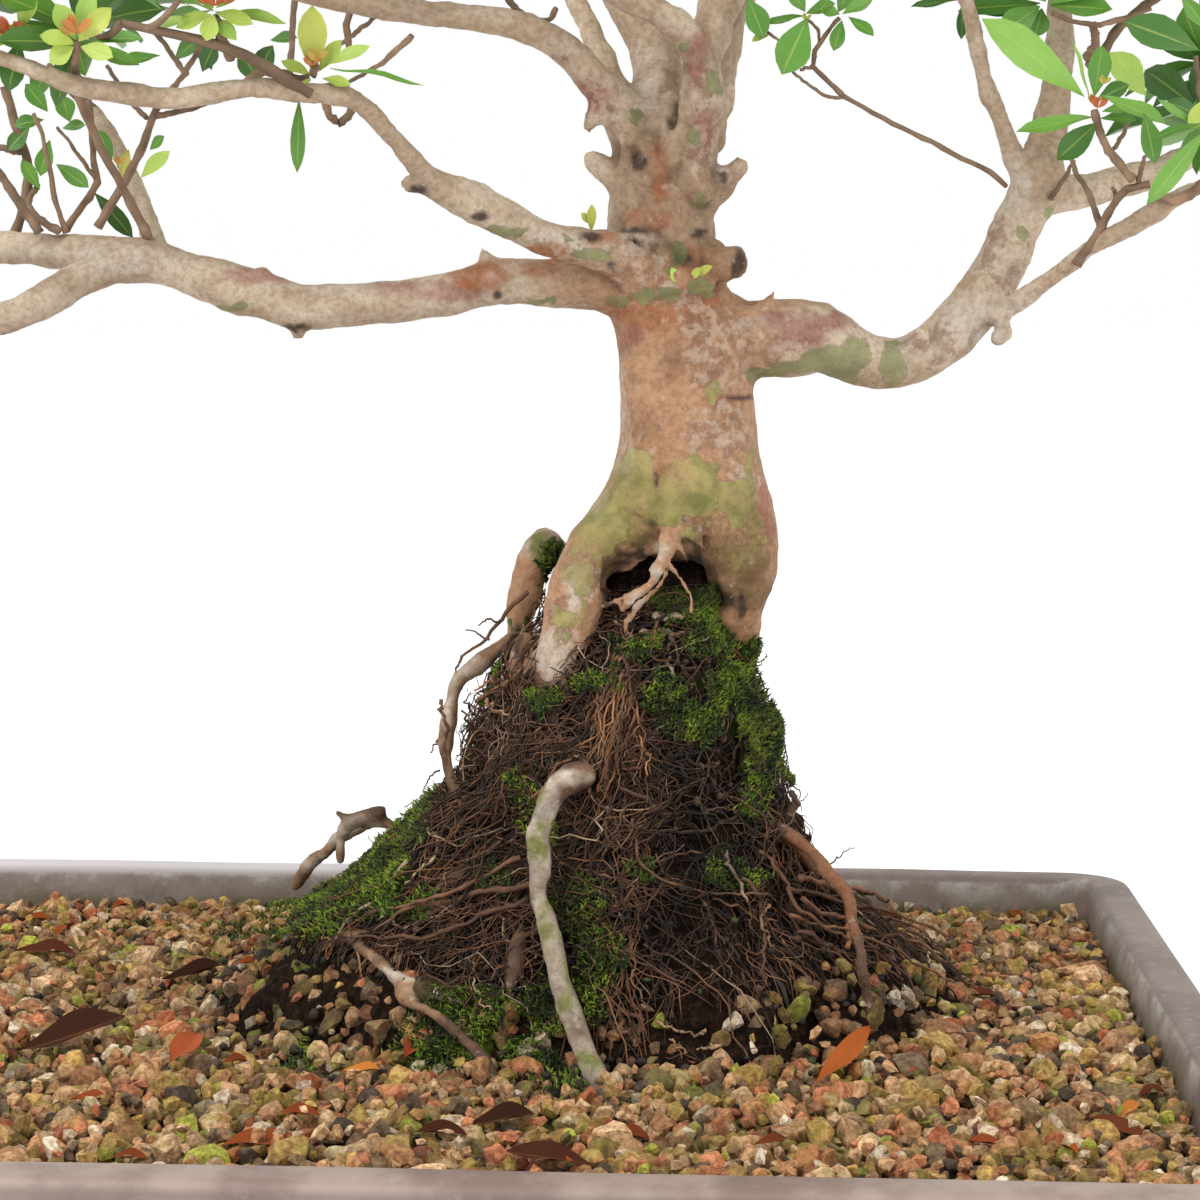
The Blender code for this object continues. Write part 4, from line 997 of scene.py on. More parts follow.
KNOTTED_ON_MOUND = (
    ((430, 904, 0.9), (446, 884, 1.8), (458, 878, 2.2), (472, 872, 1.2)),
    ((508, 996, 0.8), (513, 974, 2.0), (518, 950, 2.4), (524, 925, 1.2)),
    ((344, 936, 1.6), (362, 950, 2.0), (384, 966, 1.7), (400, 978, 2.0), (424, 988, 1.6), (444, 996, 1.7),
     (466, 1003, 1.0)),
    ((372, 932, 1.0), (356, 938, 1.8), (334, 942, 2.2), (322, 952, 1.6)),
    ((515, 880, 0.9), (494, 890, 1.3), (470, 896, 1.1), (440, 908, 1.2), (414, 920, 0.9)),
)

# Hollows beside the root between the legs: (across, down in the picture, depth, radius)
HOLLOWS_SEEN = (
    ((650, 538, -20, 1.8), (640, 549, -19, 3.0), (626, 563, -16, 3.8), (611, 580, -13, 4.0)),
    ((684, 545, -19, 1.8), (691, 558, -17, 3.2), (698, 578, -13, 4.4), (703, 600, -11, 5.0)),
)

# Soft balls (x, y, z, radius) of lichen and moss on the wood
SAGE = (
    (30, 12, 236, 7), (-10, 14, 240, 9), (8, 15, 215, 10), (66, 12, 230, 5), (-12, 16, 200, 10),
    (14, 6, 190, 9), (-22, 4, 190, 8), (-60, 0, 246, 8), (-120, 2, 250, 8), (4, 16, 262, 8), (86, 24, 280, 6),
    (-34, -50, 100, 4),
)

MOSS_ON_WOOD = (
    (-36, 14, 176, 6), (-33, 12, 166, 6), (-40, 8, 158, 5), (13, 0, 160, 4), (14, 4, 152, 6),
    (-34, -44, 104, 4), (-30, -44, 118, 3), (-42, 10, 150, 5), (-24, -68, 66, 4), (14, 8, 168, 5),
    (-8, 18, 160, 7),
)

# Ragged ovals on the front, as they are seen in the picture: (across, down, half width, half height)
HIP_FAINT_SEEN = (
    (742, 530, 28, 56), (716, 540, 20, 30), (560, 625, 16, 34), (690, 540, 16, 16), (590, 575, 20, 30),
)
HIP_SEEN = (
    (628, 484, 38, 34), (600, 526, 26, 38), (688, 487, 32, 32), (660, 505, 30, 16), (735, 496, 16, 20),
    (575, 570, 13, 26), (752, 458, 6, 26), (560, 615, 8, 14), (578, 610, 6, 10),
)
SAGE_SEEN = (
    (647, 294, 13, 11), (620, 298, 14, 7), (672, 295, 14, 7), (701, 289, 13, 10), (668, 265, 6, 9),
    (588, 254, 18, 8), (617, 362, 4, 18), (711, 392, 11, 9), (765, 376, 20, 8), (790, 366, 22, 9),
    (815, 358, 16, 9), (836, 366, 22, 18), (855, 362, 15, 24), (893, 362, 12, 24), (1025, 234, 8, 10),
    (1050, 210, 6, 8), (635, 118, 7, 8), (690, 135, 5, 8), (716, 85, 7, 14), (684, 45, 6, 8),
    (700, 202, 8, 6), (540, 300, 12, 4), (602, 258, 12, 6), (570, 240, 10, 4), (232, 308, 16, 4),
    (500, 232, 34, 6), (560, 215, 20, 5), (420, 200, 8, 4), (565, 120, 10, 6), (680, 252, 10, 10),
)

OLIVE_SEEN = (
    (745, 560, 24, 40), (720, 580, 20, 34), (760, 590, 16, 20), (700, 530, 14, 20), (612, 570, 12, 20),
    (640, 540, 16, 8),
)
WASH_SEEN = (
    (625, 505, 46, 36), (690, 500, 34, 26), (742, 520, 26, 50), (590, 555, 22, 30),
)

MOTTLE_SEEN = (
    (722, 350, 46, 44), (700, 320, 26, 20), (722, 430, 34, 30), (745, 480, 20, 20), (690, 300, 12, 10),
    (780, 345, 26, 12), (585, 575, 22, 26), (560, 620, 18, 30), (570, 250, 40, 14), (640, 250, 26, 14),
    (950, 345, 40, 24), (1000, 250, 26, 50), (590, 110, 34, 40), (700, 120, 14, 60), (640, 280, 30, 20),
)

PEEL_SEEN = (
    (648, 318, 34, 13), (624, 305, 16, 10), (690, 300, 28, 10), (650, 218, 26, 12), (600, 240, 20, 7),
    (660, 170, 10, 30), (655, 478, 5, 11), (690, 260, 20, 12), (740, 398, 18, 6), (700, 310, 14, 12),
    (540, 262, 40, 16), (480, 275, 30, 14),
)

ROSY_SEEN = (
    (802, 330, 34, 18), (775, 322, 14, 12), (838, 320, 12, 12), (590, 95, 26, 18), (700, 60, 10, 34),
    (660, 220, 14, 10), (585, 560, 24, 18), (768, 510, 8, 30), (630, 340, 14, 12), (430, 290, 60, 10),
    (260, 275, 40, 9), (700, 130, 12, 30),
)

PALE_SEEN = (
    (556, 930, 22, 70), (540, 870, 14, 30), (664, 552, 7, 8), (656, 574, 8, 9), (636, 600, 10, 6),
    (536, 545, 14, 14), (468, 668, 18, 9), (450, 700, 6, 30), (345, 830, 30, 16), (318, 862, 20, 8),
    (400, 975, 26, 8), (440, 995, 26, 8), (624, 440, 8, 42), (620, 400, 5, 40), (557, 655, 24, 26),
    (540, 540, 22, 22), (572, 590, 8, 20), (596, 500, 8, 16), (566, 242, 50, 9), (640, 240, 22, 8),
    (800, 318, 24, 4), (530, 850, 12, 40), (548, 800, 14, 30), (590, 1040, 40, 70), (575, 778, 20, 8),
    (722, 175, 8, 10), (600, 170, 12, 10), (1010, 190, 20, 30), (1000, 320, 60, 30), (900, 360, 8, 16),
    (120, 260, 60, 14), (340, 285, 70, 8), (760, 325, 20, 8), (670, 290, 8, 8), (30, 250, 30, 8),
    (645, 80, 14, 30),
)

# Painted shade: dark patches in creases and holes, in the hollows beside the root, and under the thigh and
# arm
SHADE_SEEN = (
    (641, 551, 5, 5), (628, 564, 6, 6), (616, 577, 7, 7), (691, 560, 5, 10), (698, 582, 7, 15),
    (737, 264, 8, 14), (638, 163, 8, 8), (742, 398, 17, 3), (655, 480, 2.5, 10), (698, 578, 6, 34),
    (634, 556, 16, 4), (684, 258, 12, 5), (722, 600, 16, 7), (640, 232, 22, 3), (590, 236, 12, 5),
    (606, 606, 5, 24), (655, 521, 8, 4), (705, 606, 12, 8), (742, 606, 6, 14), (495, 297, 6, 5),
    (297, 326, 14, 4), (612, 268, 5, 6), (700, 235, 8, 4), (722, 178, 5, 7), (618, 566, 8, 5),
    (418, 190, 10, 6), (480, 215, 8, 5), (515, 640, 6, 16),
)

TAN_SEEN = (
    (400, 985, 60, 44), (330, 850, 60, 40), (300, 870, 30, 20), (460, 680, 26, 30), (448, 730, 12, 40),
)

MOSSY_ROOT_SEEN = (
    (540, 800, 8, 30), (532, 860, 12, 30), (556, 930, 16, 34), (572, 990, 16, 30), (596, 1050, 18, 30),
    (540, 548, 14, 20),
)

ROSE_ROOT_SEEN = ((838, 900, 30, 50), (800, 850, 24, 24))


def wood_tints(verts, normals):
    """Bark colour at each point: tan trunk, greyer branches, browner roots, marked patches, and painted shade
    in creases and between the legs.
    """
    x, y, z = verts.T
    colour = np.tile(rgb(176, 133, 98), (len(verts), 1))

    def lay(weight, tone):
        nonlocal colour
        weight = np.clip(weight, 0, 1)[:, None]
        colour = colour * (1 - weight) + np.array(rgb(*tone)) * weight

    wide = fractal(verts, 16, 3, 21)
    fine = fractal(verts, 5, 3, 26)
    lay(0.4 + wide * 0.8, (190, 148, 114))
    lay(fine * 1.1 - 0.1, (158, 116, 86))
    from_trunk = np.hypot(x + 3, y)
    branch = np.clip(np.clip((from_trunk - 19) / 20, 0, 1) * (z > 200) + np.clip((z - 250) / 12, 0, 1), 0, 1)
    lay(branch * 0.85, (166, 138, 108))
    lay(branch * (0.05 + wide * 0.8), (150, 122, 100))
    lay(branch * (0.25 + fractal(verts * (0.5, 1, 1), 8, 3, 28) * 1.3), (204, 184, 160))
    root = np.clip((160 - z) / 14, 0, 1)
    lay(root * 0.95, (92, 66, 48))
    lay(root * (fractal(verts, 10, 3, 31) * 1.2 + 0.1), (62, 44, 33))
    lay(root * fractal(verts, 6, 2, 36) * 1.2, (134, 104, 78))
    lay(np.clip((z - 205) / 20, 0, 1) * branch * 0.35, (214, 196, 176))
    neck = np.clip((z - 243) / 8, 0, 1) * np.clip((21 - from_trunk) / 6, 0, 1) * np.clip((300 - z) / 20, 0, 1)
    lay(neck * 0.62, (142, 108, 76))
    lay(painted(verts, normals, TAN_SEEN, 8) * root * (0.75 + 0.5 * fine), (168, 132, 98))
    lay(painted(verts, normals, ROSE_ROOT_SEEN, 8) * root * 0.7, (150, 98, 62))
    lay(painted(verts, normals, OLIVE_SEEN, 9) * (0.8 + 0.5 * fine), (112, 86, 50))
    lay(painted(verts, normals, WASH_SEEN, 9) * (0.35 + 0.6 * fine), (150, 136, 78))
    lay(painted(verts, normals, PALE_SEEN, 5) * (0.7 + 0.5 * fine), (202, 188, 172))
    lay(painted(verts, normals, MOSSY_ROOT_SEEN, 6) * (0.5 + 1.6 * fine), (120, 122, 62))
    lay(painted(verts, normals, ROSY_SEEN, 5) * (0.65 + 0.3 * fine), (150, 94, 82))
    lay(painted(verts, normals, PEEL_SEEN, 4) * (0.7 + 0.5 * fine), (164, 104, 66))
    # Painted shade in creases, holes and hollows, and under the thigh and arm
    lay(painted(verts, normals, SHADE_SEEN, 3) * 0.92, (52, 36, 26))
    # Painted shade between the legs, behind the front of the crotch
    inside = np.clip((9 - np.abs(x + 3)) / 6, 0, 1) * np.clip((y + 12) / 6, 0, 1) * (z < 186)
    lay(inside * 0.9, (50, 36, 26))
    return colour


# The grid that holds the wood: two corners, and the size of its cells
WOOD_BOX = ((-242, -92, 40), (142, 92, 392))
WOOD_STEP = 1.17


def make_tree():
    """One piece of wood: chains melted together, then roughened. Returns its points."""
    wood = WoodField(*WOOD_BOX, WOOD_STEP)
    for name, rows in TRUNK.items():
        thick = max(row[3] for row in rows) >= 9.5
        if name == "tap_root":
            rows = [(*row[:3], row[3] * 0.5) for row in rows]
        wood.melt(rows, 5.5 if thick else 2.4, 0.0 if thick or name == "tap_root" else 0.5)
    for rows in STUBS.values():
        wood.melt(rows, 2.5)
    for name, rows in ROOTS.items():
        slim = 0.84 if name in SLIM_ROOTS else 1.0
        wood.melt([(*row[:3], row[3] * slim) for row in rows], 1.8, 1.1 if name == "front_root" else 2.3)
    for rows in KNOBS:
        wood.melt(rows, 4.0 if rows[0][3] > 4 else 1.4)
    for rows in GROOVES:
        wood.carve(rows, 1.2)
    for rows in HOLLOWS_SEEN:
        wood.carve([(*at(*place), radius) for *place, radius in rows], 1.6)
    for rows in KNOTTED:
        wood.melt([(*at(*place), radius) for *place, radius in rows], 1.0, 0.5)
    for rows in KNOTTED_ON_MOUND:
        wood.melt([(*on_mound_seen(*place, radius * 0.6), radius) for *place, radius in rows], 1.0, 0.6)
    verts, quads = wood.surface()
    tree = add_piece("wood", verts + TREE, quads, bark_material(), "wood")
    mesh = tree.data
    soften(mesh, 2)
    verts = point_array(mesh) - TREE
    normals = normal_array(mesh)
    stretched = verts * (1, 1, 0.45)
    from_trunk = np.hypot(verts[:, 0] + 3, verts[:, 1])
    plain = np.clip(1.3 - np.hypot(verts[:, 0], (verts[:, 2] - 212) / 1.4) / 24, 0, 1)
    thick = np.clip(1.5 - from_trunk / 26, 0.25, 1) * (verts[:, 2] > 160)
    rough = value_noise(stretched, 9, 5) * 0.7 * thick + fractal(verts, 6, 3, 7) * 0.42 * (1 - 0.7 * plain)
    rough += value_noise(verts, 1.9, 8) * 0.12
    upper = np.clip((verts[:, 2] - 240) / 8, 0, 1) * np.clip(2 - from_trunk / 14, 0, 1)
    rough += (np.abs(fractal(stretched, 6, 2, 41)) - 0.3) * 1.3 * upper
    verts += normals * rough[:, None]
    set_points(mesh, verts + TREE)
    normals = normal_array(mesh)
    # Painted shade in creases, from how deep each point lies under the smoothed surface
    hollow = smoothed_away(mesh, verts, normals)
    warped = verts + noise_vectors(fractal, verts, 8, 3, seeds=(71, 72, 73)) * 3
    side_sage = mask_of(warped, SAGE) * np.clip(normals[:, 1] * 1.5 + 0.7, 0, 1)
    hips = np.maximum(painted(verts, normals, HIP_SEEN, 9), painted(verts, normals, HIP_FAINT_SEEN, 9) * 0.46)
    hips *= (verts[:, 2] < 224) * (1 - painted(verts, normals, ((656, 474, 3, 14),), 2))
    front_sage = painted(verts, normals, SAGE_SEEN)
    store(mesh, "sage", np.clip(np.maximum.reduce([side_sage, front_sage, hips]), 0, 1))
    store(mesh, "hips", np.clip((226 - verts[:, 2]) / 6, 0, 1))
    store(mesh, "mottle", np.clip(painted(verts, normals, MOTTLE_SEEN), 0, 1))
    store(mesh, "moss", np.clip(mask_of(warped, MOSS_ON_WOOD), 0, 1))
    store(mesh, "hollow", hollow)
    store(mesh, "tint", wood_tints(verts, normals))
    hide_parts("tree")
    return verts


def smoothed_away(mesh, verts, normals):
    """How deep each point lies under the smoothed surface, 0 to 1 at 0.9 mm: the painted shade in creases."""
    edges = np.empty(len(mesh.edges) * 2, np.int32)
    mesh.edges.foreach_get("vertices", edges)
    a, b = edges.reshape(-1, 2).T
    count = np.bincount(a, minlength=len(verts)) + np.bincount(b, minlength=len(verts))
    flat = verts.copy()
    for _ in range(10):
        total = np.stack([
            np.bincount(a, flat[b, i], len(verts)) + np.bincount(b, flat[a, i], len(verts)) for i in range(3)
        ], -1)
        flat = flat * 0.4 + 0.6 * total / np.maximum(count, 1)[:, None]
    return np.clip(((flat - verts) * normals).sum(1) / 0.9, 0, 1)


def soften(mesh, rounds):
    """Smooths a mesh so many times."""
    bm = bmesh.new()
    bm.from_mesh(mesh)
    for _ in range(rounds):
        bmesh.ops.smooth_vert(
            bm, verts=bm.verts, factor=0.5, use_axis_x=True, use_axis_y=True, use_axis_z=True,
        )
    bm.to_mesh(mesh)
    bm.free()


# Root mound

# Soft balls (x, y, z, radius) of moss on the mound's sides and back, and its ragged ovals on the front
MOSS = (
    (-88, 10, 98, 14), (-100, 15, 88, 14), (-74, 8, 112, 10), (15, -2, 146, 9), (18, 0, 132, 9),
    (20, 2, 118, 8), (-37, 0, 150, 7), (-60, 40, 96, 14), (-20, 48, 108, 13), (24, 40, 96, 13),
    (34, 22, 92, 9), (-100, 40, 72, 12), (0, 62, 76, 12), (62, 30, 70, 10), (-12, 22, 158, 10),
    (10, 24, 140, 9), (-44, 24, 130, 10),
)

MOSS_SEEN = (
    (240, 936, 50, 7), (140, 926, 30, 5), (1080, 918, 12, 6), (330, 890, 70, 34), (400, 830, 40, 30),
    (420, 800, 24, 26), (300, 920, 50, 18), (370, 870, 40, 40), (755, 740, 18, 70), (725, 690, 24, 26),
    (690, 725, 30, 22), (660, 700, 24, 20), (750, 800, 14, 22), (548, 700, 20, 16), (600, 685, 26, 12),
    (530, 800, 16, 26), (545, 840, 12, 20), (580, 905, 30, 34), (470, 1010, 60, 28), (560, 1010, 40, 30),
    (600, 960, 24, 30), (440, 1050, 44, 30), (560, 1085, 34, 20), (690, 610, 40, 18), (715, 640, 30, 18),
    (640, 650, 30, 18), (420, 905, 30, 14), (500, 880, 20, 20), (640, 870, 16, 12), (720, 870, 14, 14),
    (530, 1060, 30, 20), (300, 1060, 26, 16), (740, 880, 20, 12),
)

# Parts of the mound's front where the roots are fewer and drawn darker, and where they are only fewer
DARK_ROOTS_SEEN = (
    (705, 850, 56, 60), (705, 760, 40, 60), (690, 930, 60, 40), (572, 960, 24, 30), (700, 690, 34, 30),
    (660, 660, 30, 20),
)

THIN_ROOTS_SEEN = ((560, 640, 24, 40), (540, 590, 20, 40), (745, 625, 18, 30), (560, 690, 20, 14))

# Shades of the hair roots: (red, green, blue, share)
ROOT_SHADES = (
    (40, 28, 20, 0.17), (64, 43, 30, 0.22), (94, 62, 42, 0.24), (124, 82, 54, 0.18), (152, 108, 74, 0.09),
    (188, 160, 130, 0.05), (56, 46, 38, 0.05),
)

# Rootlets on the front: (places in the picture, radius at the start, radius at the end, red, green, blue)
ROOTLETS = (
    (((655, 616), (676, 622), (700, 622), (724, 616)), 1.0, 0.6, (176, 150, 124)),
    (((640, 632), (660, 628), (682, 634), (700, 648), (706, 656)), 1.0, 0.5, (186, 160, 134)),
    (((670, 630), (668, 650), (672, 668), (676, 682)), 0.8, 0.4, (186, 166, 144)),
    (((690, 640), (684, 650), (680, 660)), 0.6, 0.3, (170, 146, 120)),
    (((722, 612), (735, 622), (742, 634)), 0.7, 0.4, (110, 78, 54)),
    (((604, 606), (594, 612), (584, 616)), 0.5, 0.3, (150, 116, 84)),
    (((640, 645), (632, 680), (620, 720), (604, 770), (596, 800)), 1.1, 0.5, (136, 88, 56)),
    (((638, 650), (622, 690), (612, 730), (600, 760)), 0.8, 0.4, (150, 98, 62)),
    (((642, 650), (640, 690), (626, 730), (612, 760), (604, 782)), 0.7, 0.35, (126, 80, 50)),
    (((636, 655), (614, 700), (606, 740), (590, 770)), 0.6, 0.3, (160, 106, 68)),
    (((640, 660), (630, 700), (620, 742), (610, 790)), 0.6, 0.3, (112, 70, 46)),
    (((644, 660), (636, 720), (616, 762), (606, 800), (590, 830)), 0.5, 0.3, (146, 96, 62)),
    (((634, 668), (606, 690), (590, 716), (560, 744)), 0.5, 0.3, (130, 84, 54)),
    (((650, 668), (652, 700), (640, 740), (632, 770)), 0.5, 0.3, (118, 76, 50)),
    (((540, 690), (556, 708), (560, 730), (576, 742)), 0.8, 0.4, (130, 96, 68)),
    (((560, 740), (530, 744), (500, 742), (474, 730), (462, 712)), 0.6, 0.3, (96, 66, 46)),
    (((600, 752), (570, 750), (540, 756), (508, 770), (480, 790)), 0.7, 0.3, (104, 70, 48)),
    (((575, 752), (548, 770), (516, 776), (494, 800), (480, 820)), 0.5, 0.3, (90, 60, 42)),
    (((620, 790), (650, 806), (690, 812), (720, 806), (742, 812)), 0.6, 0.3, (84, 58, 42)),
    (((596, 800), (626, 840), (660, 852), (700, 846)), 0.5, 0.3, (92, 62, 44)),
    (((630, 820), (640, 870), (668, 890), (720, 896), (770, 900)), 0.5, 0.3, (106, 74, 52)),
    (((560, 860), (600, 872), (636, 884), (660, 884), (700, 880)), 0.6, 0.3, (112, 78, 56)),
    (((540, 880), (500, 890), (460, 900), (420, 908), (380, 930)), 1.0, 0.5, (108, 76, 54)),
    (((530, 900), (492, 912), (440, 930), (400, 935), (352, 940)), 0.9, 0.4, (96, 66, 46)),
    (((520, 860), (486, 880), (446, 900), (404, 915), (350, 920)), 0.8, 0.4, (124, 86, 60)),
    (((500, 840), (470, 860), (430, 880), (400, 890)), 0.6, 0.3, (98, 68, 46)),
    (((545, 925), (520, 940), (508, 960), (494, 985)), 0.8, 0.4, (90, 62, 44)),
    (((610, 905), (616, 940), (612, 970), (624, 1004), (648, 1022)), 0.9, 0.6, (108, 72, 50)),
    (((612, 1004), (622, 1020), (636, 1030), (646, 1040)), 1.0, 0.5, (124, 86, 60)),
    (((626, 930), (634, 960), (636, 990), (650, 1010)), 0.5, 0.3, (140, 104, 74)),
    (((700, 900), (716, 930), (722, 970), (746, 1000), (752, 1024)), 0.5, 0.3, (128, 90, 64)),
    (((740, 880), (756, 900), (760, 940), (766, 980)), 0.7, 0.4, (96, 66, 46)),
    (((760, 850), (786, 880), (796, 906), (830, 930), (880, 944)), 0.7, 0.4, (112, 76, 52)),
    (((790, 835), (812, 860), (832, 870), (846, 900), (850, 950)), 1.6, 0.9, (146, 98, 62)),
    (((800, 900), (840, 916), (880, 930), (920, 945), (952, 966)), 0.9, 0.5, (116, 78, 54)),
    (((790, 890), (836, 900), (880, 915), (916, 930), (944, 950)), 0.7, 0.4, (96, 64, 44)),
    (((800, 930), (830, 945), (870, 955), (900, 975)), 0.7, 0.4, (86, 58, 40)),
    (((790, 915), (830, 930), (866, 940), (912, 966), (950, 980)), 0.6, 0.3, (130, 90, 60)),
    (((850, 905), (880, 910), (910, 925), (944, 935)), 0.8, 0.4, (100, 68, 46)),
    (((800, 880), (826, 886), (862, 900), (892, 915)), 1.1, 0.6, (120, 82, 56)),
    (((700, 1024), (690, 1034), (676, 1030), (660, 1020)), 0.5, 0.3, (168, 130, 96)),
    (((720, 1046), (706, 1040), (694, 1044), (670, 1036)), 0.5, 0.3, (176, 140, 104)),
    (((706, 1040), (716, 1054), (722, 1068)), 0.4, 0.25, (176, 140, 104)),
    (((620, 1010), (632, 1030), (640, 1046)), 0.9, 0.5, (120, 84, 58)),
    (((430, 825), (432, 850), (426, 868), (404, 884)), 0.7, 0.4, (196, 176, 132)),
    (((442, 700), (440, 740), (446, 770)), 0.6, 0.4, (110, 78, 54)),
    (((490, 700), (500, 712), (512, 716)), 0.5, 0.3, (170, 130, 96)),
    (((470, 690), (486, 680), (500, 682)), 0.4, 0.25, (130, 90, 64)),
    (((380, 860), (372, 890), (376, 920)), 0.6, 0.4, (86, 60, 42)),
    (((468, 960), (478, 976), (484, 1000), (492, 1010)), 0.4, 0.25, (180, 150, 120)),
    (((770, 905), (764, 930), (772, 950)), 0.4, 0.25, (150, 112, 80)),
)

# Points in each of these lines, and how many more hairs hang under the legs and stand out at the sides
SEEN_STEPS = 26
BEARD_COUNT = 46
FRINGE_COUNT = 90

# Fine hairs that stand out from the outline: (places in the picture, their depth, radius)
HAIRS = (
    (((527, 592), (512, 606), (496, 628), (486, 640), (462, 656)), 0, 0.7),
    (((490, 640), (476, 632), (466, 630)), 0, 0.35),
    (((500, 622), (488, 618), (478, 626)), 0, 0.35),
    (((462, 656), (456, 672), (458, 690)), 0, 0.4),
    (((520, 640), (530, 622), (536, 606)), -4, 0.45),
    (((478, 700), (500, 690), (516, 672)), -6, 0.5),
    (((474, 706), (462, 702), (470, 692)), -6, 0.3),
    (((442, 745), (436, 744), (430, 752)), -4, 0.3),
    (((440, 770), (430, 776), (424, 790)), -4, 0.3),
    (((436, 742), (444, 734), (452, 720)), -6, 0.4),
    (((456, 716), (452, 708), (446, 706)), -6, 0.3),
    (((745, 660), (754, 664), (764, 660)), 0, 0.25),
    (((772, 764), (780, 770), (776, 780)), -4, 0.3),
    (((764, 720), (770, 728), (766, 740)), -4, 0.3),
    (((795, 800), (800, 808), (790, 816)), -10, 0.4),
)


def make_mound():
    """The dark soil of the mound, one skin with a rounded top, open at its foot under the gravel."""
    rings, around = 112, 200
    t = np.linspace(0, 1, 20)
    z = np.concatenate([np.linspace(50, 164, rings), 164 + 19 * t[1:]])
    close = np.concatenate([np.ones(rings), np.sqrt(1 - t[1:] ** 1.7) * 0.92])
    angle = np.linspace(-math.pi, math.pi, around, endpoint=False)
    grid_z, grid_angle = np.meshgrid(z, angle, indexing="ij")
    verts = mound_point(grid_angle, grid_z)
    centre = np.stack([np.interp(grid_z, MOUND_PROFILE[::-1, 0], MOUND_PROFILE[::-1, i]) for i in (1, 2)], -1)
    lean = np.clip((grid_z - 160) / 20, 0, 1)[..., None] * (8, 4)
    verts[..., :2] = centre + lean + (verts[..., :2] - centre) * close[:, None, None]
    verts = verts.reshape(-1, 3)
    rough = fractal(verts, 4.4, 3, 12) * 1.5 + fractal(verts, 12, 2, 13) * 1.6 - 0.6
    verts += unit(verts - (-20, 4, 90)) * rough[:, None]
    faces = np.stack(grid_corners(len(z), around, closed=True), -1)
    mound = add_piece("mound", verts + TREE, faces, humus_material(), "mound", moss=moss_share(verts))
    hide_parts("root_mound")


def moss_share(points):
    """0 to 1 where moss grows on the mound."""
    outward = unit((points - MOUND_MIDDLE) * (1, 1, 0))
    warped = points + noise_vectors(fractal, points, 18, 4, seeds=(81, 82, 83)) * 15
    behind = mask_of(warped, MOSS)
    return np.maximum(behind * np.clip(outward[:, 1] * 2 + 1.2, 0, 1), painted(points, outward, MOSS_SEEN, 9))


def strand_piece(name, lines, radii, shades, rng, sides=3):
    """Many thin roots as one piece, each with a shade of its own from the list (red, green, blue, share)."""
    verts, faces = tubes(lines, radii, sides)
    tones = rgb_rows(shade[:3] for shade in shades)
    shares = np.array([c[3] for c in shades], float)
    pick = rng.choice(len(tones), len(lines), p=shares / shares.sum())
    tint = np.repeat(tones[pick] * rng.uniform(0.7, 1.15, (len(lines), 1)), len(verts) // len(lines), 0)
    # Roots are drawn darker on some parts of the front
    dark = painted_flat(verts, DARK_ROOTS_SEEN, 12)
    tint = tint * (1 - 0.62 * dark)[:, None]
    add_piece(name, verts + TREE, faces, STRAND_MATERIAL, "mound", tint=tint)


def on_ground_seen(across, down, lift):
    """The point of the gravel or mound seen at a place of the picture."""
    depths = np.arange(-150.0, 130.0, 1.0)
    line = np.array([at(across, down, d) for d in depths])
    ground = top_height(line[:, 0], line[:, 1]) + lift
    return line[np.argmax(line[:, 2] < ground)]


def walked(angle, z, heading, steps, length, curl, rng):
    """Angles and heights on the mound along random walks; a heading of 0 goes straight down."""
    angles, heights = [], []
    course = heading.copy()
    for _ in range(steps):
        angles.append(angle)
        heights.append(z)
        course = course + rng.normal(0, curl, len(angle)) + (heading - course) * 0.15
        radius = (mound_values(z)[2] + mound_values(z)[3]) / 2
        angle = angle + length * np.sin(course) / radius
        z = np.clip(z - length * np.cos(course) * 0.85, 38, 172)
    return np.array(angles).T, np.array(heights).T


# Hair roots: piece, count, points in each, curl, spread of headings, thinnest radius, share of the full
# length, and how far they may stand off the mound
HAIR_ROOTS = (
    ("fine_roots", 1850, 15, 0.38, 0.55, 0.11, 1.0, 3.0),
    ("root_tangle", 1250, 14, 0.78, 1.6, 0.085, 0.72, 5.0),
)


